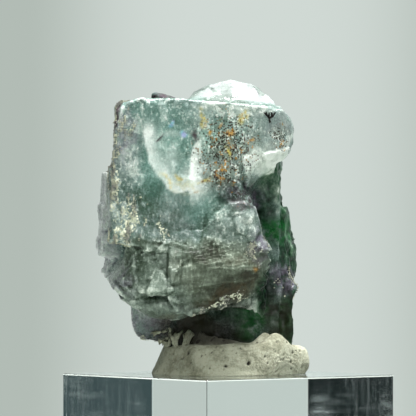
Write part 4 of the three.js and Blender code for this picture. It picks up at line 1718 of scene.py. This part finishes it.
@dataclass
class Dendrite:
    """A small branching black film on the upper-right lobe."""

    crystals: bpy.types.Object
    top: float
    width: float = 0.3
    thin_end: float = 0.45
    flatness: float = 0.6
    stations: int = 9
    around: int = 6
    stems: tuple[tuple[tuple[float, float], ...], ...] = (
        ((8.8, 53.0), (8.7, 53.6), (8.7, 54.0)),
        ((8.7, 54.0), (8.2, 54.5), (8.0, 55.3)),
        ((8.2, 54.5), (7.9, 54.8), (7.6, 55.1)),
        ((8.4, 54.3), (8.6, 54.7), (8.65, 55.1)),
        ((8.7, 54.0), (9.5, 54.5), (10.0, 55.3)),
        ((9.3, 54.4), (9.2, 54.8), (9.1, 55.2)),
    )

    def build(self) -> None:
        """Lays every stem on the crystal's surface and joins them."""
        depsgraph = bpy.context.evaluated_depsgraph_get()
        tree = BVHTree.FromObject(self.crystals, depsgraph)
        parts = [self.stem(tree, np.array(stem)) for stem in self.stems]
        tube = ring_faces(self.stations, self.around)
        faces = np.concatenate([tube + k * len(part) for k, part in enumerate(parts)])
        piece = mesh_object("dendrite", np.concatenate(parts), faces)
        dress(piece, DendriteFinish().material())

    def stem(self, tree: BVHTree, route: np.ndarray) -> np.ndarray:
        """A thin tapered tube along a route on the front: a circle carried along it, closed by two poles.

        Args:
            tree: The crystals' surface.
            route: Places across the front in millimetres, shape (n, 2).

        Returns:
            Points in metres: the rings, then the two poles.
        """
        along = np.linspace(0, len(route) - 1, self.stations)
        x = np.interp(along, np.arange(len(route)), route[:, 0]) * MM
        z = np.interp(along, np.arange(len(route)), route[:, 1]) * MM + self.top
        y = np.array([front_depth(tree, px, pz) for px, pz in zip(x, z)])
        spine = np.stack([x, y, z], axis=1)
        radius = self.width * MM * np.linspace(1.0, self.thin_end, self.stations)
        angle = np.linspace(0, 2 * np.pi, self.around, endpoint=False)[:, None]
        forward = np.gradient(spine, axis=0)
        forward /= np.linalg.norm(forward, axis=1, keepdims=True)
        outward = np.array([0.0, -1.0, 0.0])
        across = np.cross(forward, outward)
        lift = np.cos(angle) * across[:, None] + self.flatness * np.sin(angle) * outward
        rings = spine[:, None] + radius[:, None, None] * lift
        return np.concatenate([rings.reshape(-1, 3), spine[:1], spine[-1:]])


@dataclass
class MountingPutty:
    """Putty pressed around the foot: an outer lip, a step behind it, a torn crest and drawn-out strands."""

    crystals: bpy.types.Object
    top: float
    middle: tuple[float, float] = (0.3, 3.6)
    half: tuple[float, float] = (16.2, 15.2)
    floor: float = 4.4
    lip: float = 6.2
    lip_peaks: Peaks = ((-44, 15, 2.9), (-84, 18, 0.9), (-128, 26, 0.5), (62, 30, 1.2), (160, 24, 1.0))
    crest: float = 6.2
    crest_peaks: Peaks = ((-44, 16, 3.0), (-84, 18, 0.9), (-122, 30, 3.2), (62, 30, 1.2), (160, 24, 1.6))
    spread: Peaks = ((104, 26, 0.1), (134, 16, 0.16))
    torn: tuple[float, float] = (-136, 30)
    torn_height: float = 0.8
    waves: tuple[tuple[float, int, float], ...] = ((0.03, 3, 0.6), (0.02, 7, 2.1))
    stations: tuple[float, ...] = (0.0, 0.16, 0.4, 0.56, 0.68, 0.84, 1.0)
    bulging: tuple[float, ...] = (0.97, 1.02, 0.99, 0.85, 0.74, 0.62, 0.46)
    leaning: tuple[float, ...] = (1.05, 0.98, 0.9, 0.83, 0.74, 0.62, 0.46)
    side_rise: tuple[float, float] = (0.3, 0.84)
    step_drop: float = 1.2
    step_share: float = 0.6
    press_cell: float = 5.5
    press_height: float = 0.12
    lump_height: float = 0.32
    grit_cell: float = 0.9
    grit_height: float = 0.05
    pit_cells: tuple[float, float] = (3.1, 1.25)
    pit_depth: float = 0.5
    strand_ring: tuple[float, float] = (0.84, 0.78)
    strand_waist: float = 0.3
    strand_depth: float = 0.35
    strand_reach: float = 5.0
    strand_bends: tuple[tuple[float, float], ...] = ((-0.5, 0.5), (-0.4, 0.1))
    tear_squeeze: Place = (2.4, 1.0, 0.5)
    tear_heights: Place = (0.35, 0.4, 0.9)
    strand_rings: int = 24
    strand_around: int = 18
    strand_lines: tuple[tuple[float, ...], ...] = (
        (-13.3, 5.2, -13.4, 8.2, 0.4, 0.5),
        (-12.6, 5.4, -14.4, 9.0, 0.8, 1.8),
        (-12.0, 5.4, -13.2, 9.3, 0.4, 0.8),
        (-11.3, 5.4, -12.3, 9.6, 0.5, 0.6),
        (-10.3, 5.6, -10.6, 8.7, 0.5, 1.0),
        (-9.2, 5.6, -8.4, 8.9, 0.7, 0.9),
        (-8.0, 5.6, -7.6, 8.4, 0.5, 0.7),
    )
    around: int = 460
    rings: int = 84
    rounding: int = 16
    seed: int = 9

    def build(self) -> None:
        """Makes the putty with its strands, and marks its pits and the painted shadow under the crystal."""
        points = self.surface()
        pits = self.pits(points)
        outward = points - np.array([*self.middle, 1.0])
        outward /= np.linalg.norm(outward, axis=1, keepdims=True)
        flats = cell_planes(points, self.press_cell, seed=51, slope=0.7) * fade(points[:, 2], 3.5, 6.0)
        lumps = layered_noise(points, self.press_cell, seed=51, layers=4)
        grit = layered_noise(points, self.grit_cell, seed=57, layers=2)
        height = self.press_height * flats + self.lump_height * lumps + self.grit_height * grit
        height = (height - self.pit_depth * pits) * fade(points[:, 2], 0.05, 1.2)
        moved = points + outward * height[:, None]
        strands, strand_faces = self.strands(len(moved))
        places = (np.concatenate([moved, strands]) + np.array([0, 0, self.top / MM])) * MM
        faces = np.concatenate([ring_faces(self.rings, self.around), strand_faces])
        piece = mesh_object("mounting_putty", places, faces)
        inward = np.linalg.norm((points[:, :2] - np.array(self.middle)) / np.array(self.half), axis=1)
        # Painted shadow: the inner top of the putty on the left, under the crystal, darkened like the pits.
        shadowed = 0.75 * (1 - fade(inward, 0.7, 0.84)) * (1 - fade(points[:, 0], 0, 5))
        pits_and_shadow = np.concatenate([pits * fade(points[:, 2], 0.2, 1.2) + shadowed, np.zeros(len(strands))])
        set_numbers(piece, "pits", pits_and_shadow)
        dress(piece, PuttyFinish().material(), "putty")

    def surface(self) -> np.ndarray:
        """The pad: at each bearing a profile goes up the side to the lip, in to the crest and down.

        The side bulges on the right and leans in on the left. The profile's stations are joined by
        straight lines, which are then rounded.

        Returns:
            Points in millimetres: the rings, then the two poles.
        """
        bearing = np.linspace(-180, 180, self.around, endpoint=False)
        angle = np.radians(bearing)
        uneven = self.heights(bearing, 1.0, self.spread)
        for height, turns, start in self.waves:
            uneven = uneven + height * np.sin(turns * angle + start)
        lip = self.heights(bearing, self.lip, self.lip_peaks)
        crest = self.heights(bearing, self.crest, self.crest_peaks)
        circle = np.stack([np.cos(angle), np.sin(angle), 0 * angle], axis=1)
        ragged = np.clip(layered_noise(circle * 9, 0.8, seed=77), 0, None)
        crest = crest + ragged * self.heights(bearing, 0.0, ((*self.torn, self.torn_height),))
        stations, bulging, leaning = np.array([self.stations, self.bulging, self.leaning])
        left = (1 - np.cos(angle)) / 2
        reach = bulging[:, None] + (leaning - bulging)[:, None] * left[None]
        flat = np.ones_like(lip)
        step = np.maximum(lip - self.step_drop, self.step_share * crest)
        low, high = self.side_rise
        rise = np.stack([0 * flat, low * lip, high * lip, lip, step, crest, self.floor * flat])
        up = np.linspace(0, 1, self.rings)
        place = np.clip(np.searchsorted(stations, up, side="right") - 1, 0, len(stations) - 2)
        share = ((up - stations[place]) / (stations[place + 1] - stations[place]))[:, None]
        profile = np.stack([reach * uneven[None], rise])
        radius, z = self.rounded(profile[:, place] + share * (profile[:, place + 1] - profile[:, place]))
        x = self.middle[0] + self.half[0] * radius * np.cos(angle)[None]
        y = self.middle[1] + self.half[1] * radius * np.sin(angle)[None]
        grid = np.stack([x, y, z], axis=-1).reshape(-1, 3)
        poles = np.array([[*self.middle, 0.0], [*self.middle, self.floor]])
        return np.concatenate([grid, poles])

    def rounded(self, profile: np.ndarray) -> np.ndarray:
        """Profiles with their corners rounded: each point goes to its neighbours' middle, the ends stay.

        Args:
            profile: Radius and height along each profile, shape (2, rings, bearings).

        Returns:
            The rounded profiles.
        """
        for _ in range(self.rounding):
            middle = (profile[:, 2:] + profile[:, :-2]) / 2
            profile = np.concatenate([profile[:, :1], middle, profile[:, -1:]], axis=1)
        return profile

    @staticmethod
    def heights(bearing: np.ndarray, base: float, peaks: Peaks) -> np.ndarray:
        """Height at each bearing: a base, and a bell curve for each peak.

        Args:
            bearing: Degrees from +x towards +y.
            base: Height away from the peaks.
            peaks: Bearing, spread and rise of each.

        Returns:
            Heights in millimetres.
        """
        height = np.full_like(bearing, base)
        for place, spread, rise in peaks:
            away = (bearing - place + 540) % 360 - 180
            height = height + rise * np.exp(-((away / spread) ** 2))
        return height

    def pits(self, points: np.ndarray) -> np.ndarray:
        """Ragged pits: places near scattered points, moved by fine noise.

        Args:
            points: Places in millimetres.

        Returns:
            Depth shares from 0 to 1.
        """
        moved = points + 0.25 * noise_vectors(points, 0.8, seed=63)
        coarse = 1 - fade(cell_distance(moved, self.pit_cells[0], seed=61), 0.06, 0.18)
        fine = 1 - fade(cell_distance(moved, self.pit_cells[1], seed=67), 0.08, 0.22)
        return np.maximum(coarse, fine * 0.75)

    def strands(self, first: int) -> tuple[np.ndarray, np.ndarray]:
        """Torn strands between the lip and the heel: bent, flattened tubes, each wide at its ends.

        Args:
            first: Number of the first strand's first point.

        Returns:
            Points in millimetres and triangles.
        """
        tree = BVHTree.FromObject(self.crystals, bpy.context.evaluated_depsgraph_get())
        draw = np.random.default_rng(self.seed)
        along = np.linspace(0, 1, self.strand_rings)
        angle = np.linspace(0, 2 * np.pi, self.strand_around, endpoint=False)
        waist = 1 - self.strand_waist * np.sin(np.pi * along)
        points = []
        for foot_x, foot_z, tip_x, tip_z, foot_half, tip_half in self.strand_lines:
            aside = (foot_x - self.middle[0]) / (self.strand_ring[0] * self.half[0])
            foot_y = self.middle[1] - self.strand_ring[1] * self.half[1] * math.sqrt(max(0, 1 - aside**2))
            foot = np.array([foot_x, foot_y, foot_z])
            tip_y = max(front_depth(tree, tip_x * MM, tip_z * MM + self.top) / MM, foot_y - self.strand_reach)
            tip = np.array([tip_x, tip_y - 0.1, tip_z])
            bend = np.array([*(draw.uniform(*ends) for ends in self.strand_bends), 0])
            spine = foot + along[:, None] * (tip - foot) + np.sin(np.pi * along)[:, None] * bend
            half = waist * (foot_half + along * (tip_half - foot_half))
            wide = half[:, None] * np.cos(angle)[None]
            deep = self.strand_depth * waist[:, None] * np.sin(angle)[None]
            tube = (spine[:, None] + np.stack([wide, deep, 0 * wide], axis=-1)).reshape(-1, 3)
            torn = layered_noise(tube * np.array(self.tear_squeeze), 0.9, seed=43)
            tube = tube + torn[:, None] * np.array(self.tear_heights)
            points.append(np.concatenate([tube, spine[:1], spine[-1:]]))
        faces = ring_faces(len(along), len(angle))
        joined = [faces + first + k * len(points[0]) for k in range(len(points))]
        return np.concatenate(points), np.concatenate(joined)


@dataclass
class AcrylicBlock:
    """The clear block: a rounded square carried up a profile with rounded edges."""

    side: float = 50.0
    height: float = 25.0
    turn: float = 38.0
    edge: float = 0.35
    bend: int = 6

    def build(self) -> None:
        """Makes the block."""
        profile = self.profile()
        outline = self.outline()
        rings = outline[None] - profile[:, 0][:, None, None] * self.directions()[None]
        heights = np.broadcast_to(profile[:, 1][:, None, None], (*rings.shape[:2], 1))
        points = np.concatenate([rings, heights], axis=-1).reshape(-1, 3)
        poles = np.array([[0, 0, 0], [0, 0, self.height]])
        places = np.concatenate([points, poles]) * MM
        faces = ring_faces(len(profile), len(outline))
        piece = mesh_object("clear_block", places, faces, smooth=False)
        dress(piece, AcrylicFinish().material(), "acrylic_block")

    def profile(self) -> np.ndarray:
        """Inset and height up the side: two quarter circles joined by the upright face.

        Returns:
            Pairs in millimetres, shape (n, 2).
        """
        angle = np.linspace(0, np.pi / 2, self.bend + 1)
        inset = self.edge * (1 - np.sin(angle))
        low = np.stack([inset, self.edge * (1 - np.cos(angle))], axis=1)
        high = np.stack([inset[::-1], self.height - self.edge * (1 - np.cos(angle[::-1]))], axis=1)
        return np.concatenate([low, high])

    def corner_angles(self) -> np.ndarray:
        """Bearing of the outward direction at each outline point: a quarter turn at each corner."""
        quarter = np.linspace(0, np.pi / 2, self.bend + 1)
        return np.concatenate([quarter + k * np.pi / 2 for k in range(4)]) + math.radians(self.turn)

    def directions(self) -> np.ndarray:
        """Outward unit directions at the outline's points."""
        angle = self.corner_angles()
        return np.stack([np.cos(angle), np.sin(angle)], axis=1)

    def outline(self) -> np.ndarray:
        """Rounded square: the corner centres moved outwards by the edge's radius.

        Returns:
            Points in millimetres, shape (n, 2).
        """
        reach = (self.side / 2 - self.edge) * math.sqrt(2)
        middle = math.radians(self.turn) + np.pi / 4 + np.repeat(np.arange(4), self.bend + 1) * np.pi / 2
        centres = reach * np.stack([np.cos(middle), np.sin(middle)], axis=1)
        return centres + self.edge * self.directions()


@dataclass
class Studio:
    """Camera, lights, floor and backdrop."""

    scale: float = 0.000212
    frame_pixels: int = 416
    aim: Place = (-0.00413, 0.0, 0.0602)
    distance: float = 0.95
    sensor: float = 36.0
    lights: tuple[tuple[str, Place, float, float], ...] = (
        ("overhead", (0.05, -0.02, 0.45), 0.18, 6.5),
        ("front_fill", (0.25, -0.75, 0.5), 0.4, 3.4),
    )
    target: Place = (0.0, 0.0, 0.06)
    floor_radius: float = 0.2
    floor_depth: float = 0.003
    floor_gap: float = 0.0002
    floor_sides: int = 96
    floor_mottle: float = 0.05
    floor_tones: tuple[Colour, Colour] = (tone(176, 182, 176), tone(184, 190, 184))
    backdrop: Colour = tone(178, 188, 181)
    backdrop_bright: Colour = tone(208, 217, 212)
    left_side: Colour = tone(16, 25, 24)
    right_side: Colour = tone(66, 86, 88)
    glow: Colour = tone(214, 224, 218)
    bright_middle: float = 0.009

    def build(self) -> None:
        """Sets the stage."""
        self.camera()
        for light in self.lights:
            self.light(*light)
        self.floor()
        self.world()

    def camera(self) -> None:
        """A long lens, level with the middle of the picture."""
        data = bpy.data.cameras.new("camera")
        data.sensor_width = self.sensor
        data.lens = self.sensor * self.distance / (self.frame_pixels * self.scale)
        data.clip_end = 20
        camera = bpy.data.objects.new("camera", data)
        camera.location = Vector(self.aim) + Vector((0, -self.distance, 0))
        camera.rotation_euler = (math.pi / 2, 0, 0)
        bpy.context.scene.collection.objects.link(camera)
        bpy.context.scene.camera = camera

    def light(self, name: str, place: Place, size: float, power: float) -> None:
        """A square soft light that points at the target.

        Args:
            name: Its name.
            place: Where it is.
            size: Its side in metres.
            power: Its power in watts.
        """
        data = bpy.data.lights.new(name, "AREA")
        data.size = size
        data.energy = power
        lamp = bpy.data.objects.new(name, data)
        lamp.location = place
        lamp.rotation_mode = "QUATERNION"
        lamp.rotation_quaternion = (Vector(self.target) - Vector(place)).to_track_quat("-Z", "Y")
        bpy.context.scene.collection.objects.link(lamp)

    def floor(self) -> None:
        """A pale round floor: rings of growing radius, with its two poles at the middle."""
        angle = np.linspace(0, 2 * np.pi, self.floor_sides, endpoint=False)
        radii = np.array([0.5, 1.0, 1.0, 0.5]) * self.floor_radius
        heights = np.array([-1.0, -1.0, 0.0, 0.0]) * self.floor_depth - self.floor_gap
        rings = np.stack(
            [
                radii[:, None] * np.cos(angle)[None],
                radii[:, None] * np.sin(angle)[None],
                np.repeat(heights[:, None], len(angle), axis=1),
            ],
            axis=-1,
        )
        poles = np.array([[0, 0, heights[0]], [0, 0, heights[-1]]])
        points = np.concatenate([rings.reshape(-1, 3), poles])
        piece = mesh_object("floor", points, ring_faces(len(radii), len(angle)), smooth=False)
        material, graph = new_material("pale_floor")
        colour = graph.blend(graph.noise(self.floor_mottle), *self.floor_tones)
        graph.surface(graph.principled({"Base Color": colour, "Roughness": 0.7}))
        piece.data.materials.append(material)

    def world(self) -> None:
        """A pale backdrop for the camera; around the object it is bright behind and dark at the sides."""
        world = bpy.data.worlds.new("backdrop")
        bpy.context.scene.world = world
        world.use_nodes = True
        graph = Graph(world.node_tree)
        direction = graph.node("ShaderNodeTexCoord", {}, {}, "Generated")
        split = graph.node("ShaderNodeSeparateXYZ", {}, {0: direction})
        across, ahead, up = (Socket(graph, split.link.node.outputs[k]) for k in range(3))
        offset = across - self.bright_middle
        aside = ((offset * offset).step(0.0, 0.0025) + (ahead < 0.5)).limited()
        seen = graph.blend(aside, self.backdrop_bright, self.backdrop)
        behind = ahead.step(0.45, 0.85)
        facing = (0.0 - ahead).step(0.2, 0.9) * 0.3
        above = up.step(0.3, 0.9) * 0.6
        sides = graph.blend(across.step(-0.4, 0.4), self.left_side, self.right_side)
        lit = graph.vector("SCALE", {0: self.glow, "Scale": behind + facing + above})
        lit = graph.vector("ADD", {0: lit, 1: sides})
        path = graph.node("ShaderNodeLightPath", {}, {}, "Is Camera Ray")
        colour = graph.blend(path, lit, seen)
        shader = graph.node("ShaderNodeBackground", {}, {"Color": colour})
        graph.node("ShaderNodeOutputWorld", {}, {"Surface": shader})


def main() -> None:
    """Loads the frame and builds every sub-assembly around it."""
    logging.basicConfig(level=logging.INFO, format="%(name)s: %(message)s")
    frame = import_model()
    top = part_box("acrylic_block")[1][2]
    Studio().build()
    cluster = FluoriteCluster(frame["nodes"]["fluorite_cluster"], top)
    cluster.build()
    Dendrite(cluster.piece, top).build()
    MountingPutty(cluster.piece, top).build()
    AcrylicBlock().build()
    bpy.context.scene.view_settings.view_transform = "Standard"


if __name__ == "__main__":
    main()
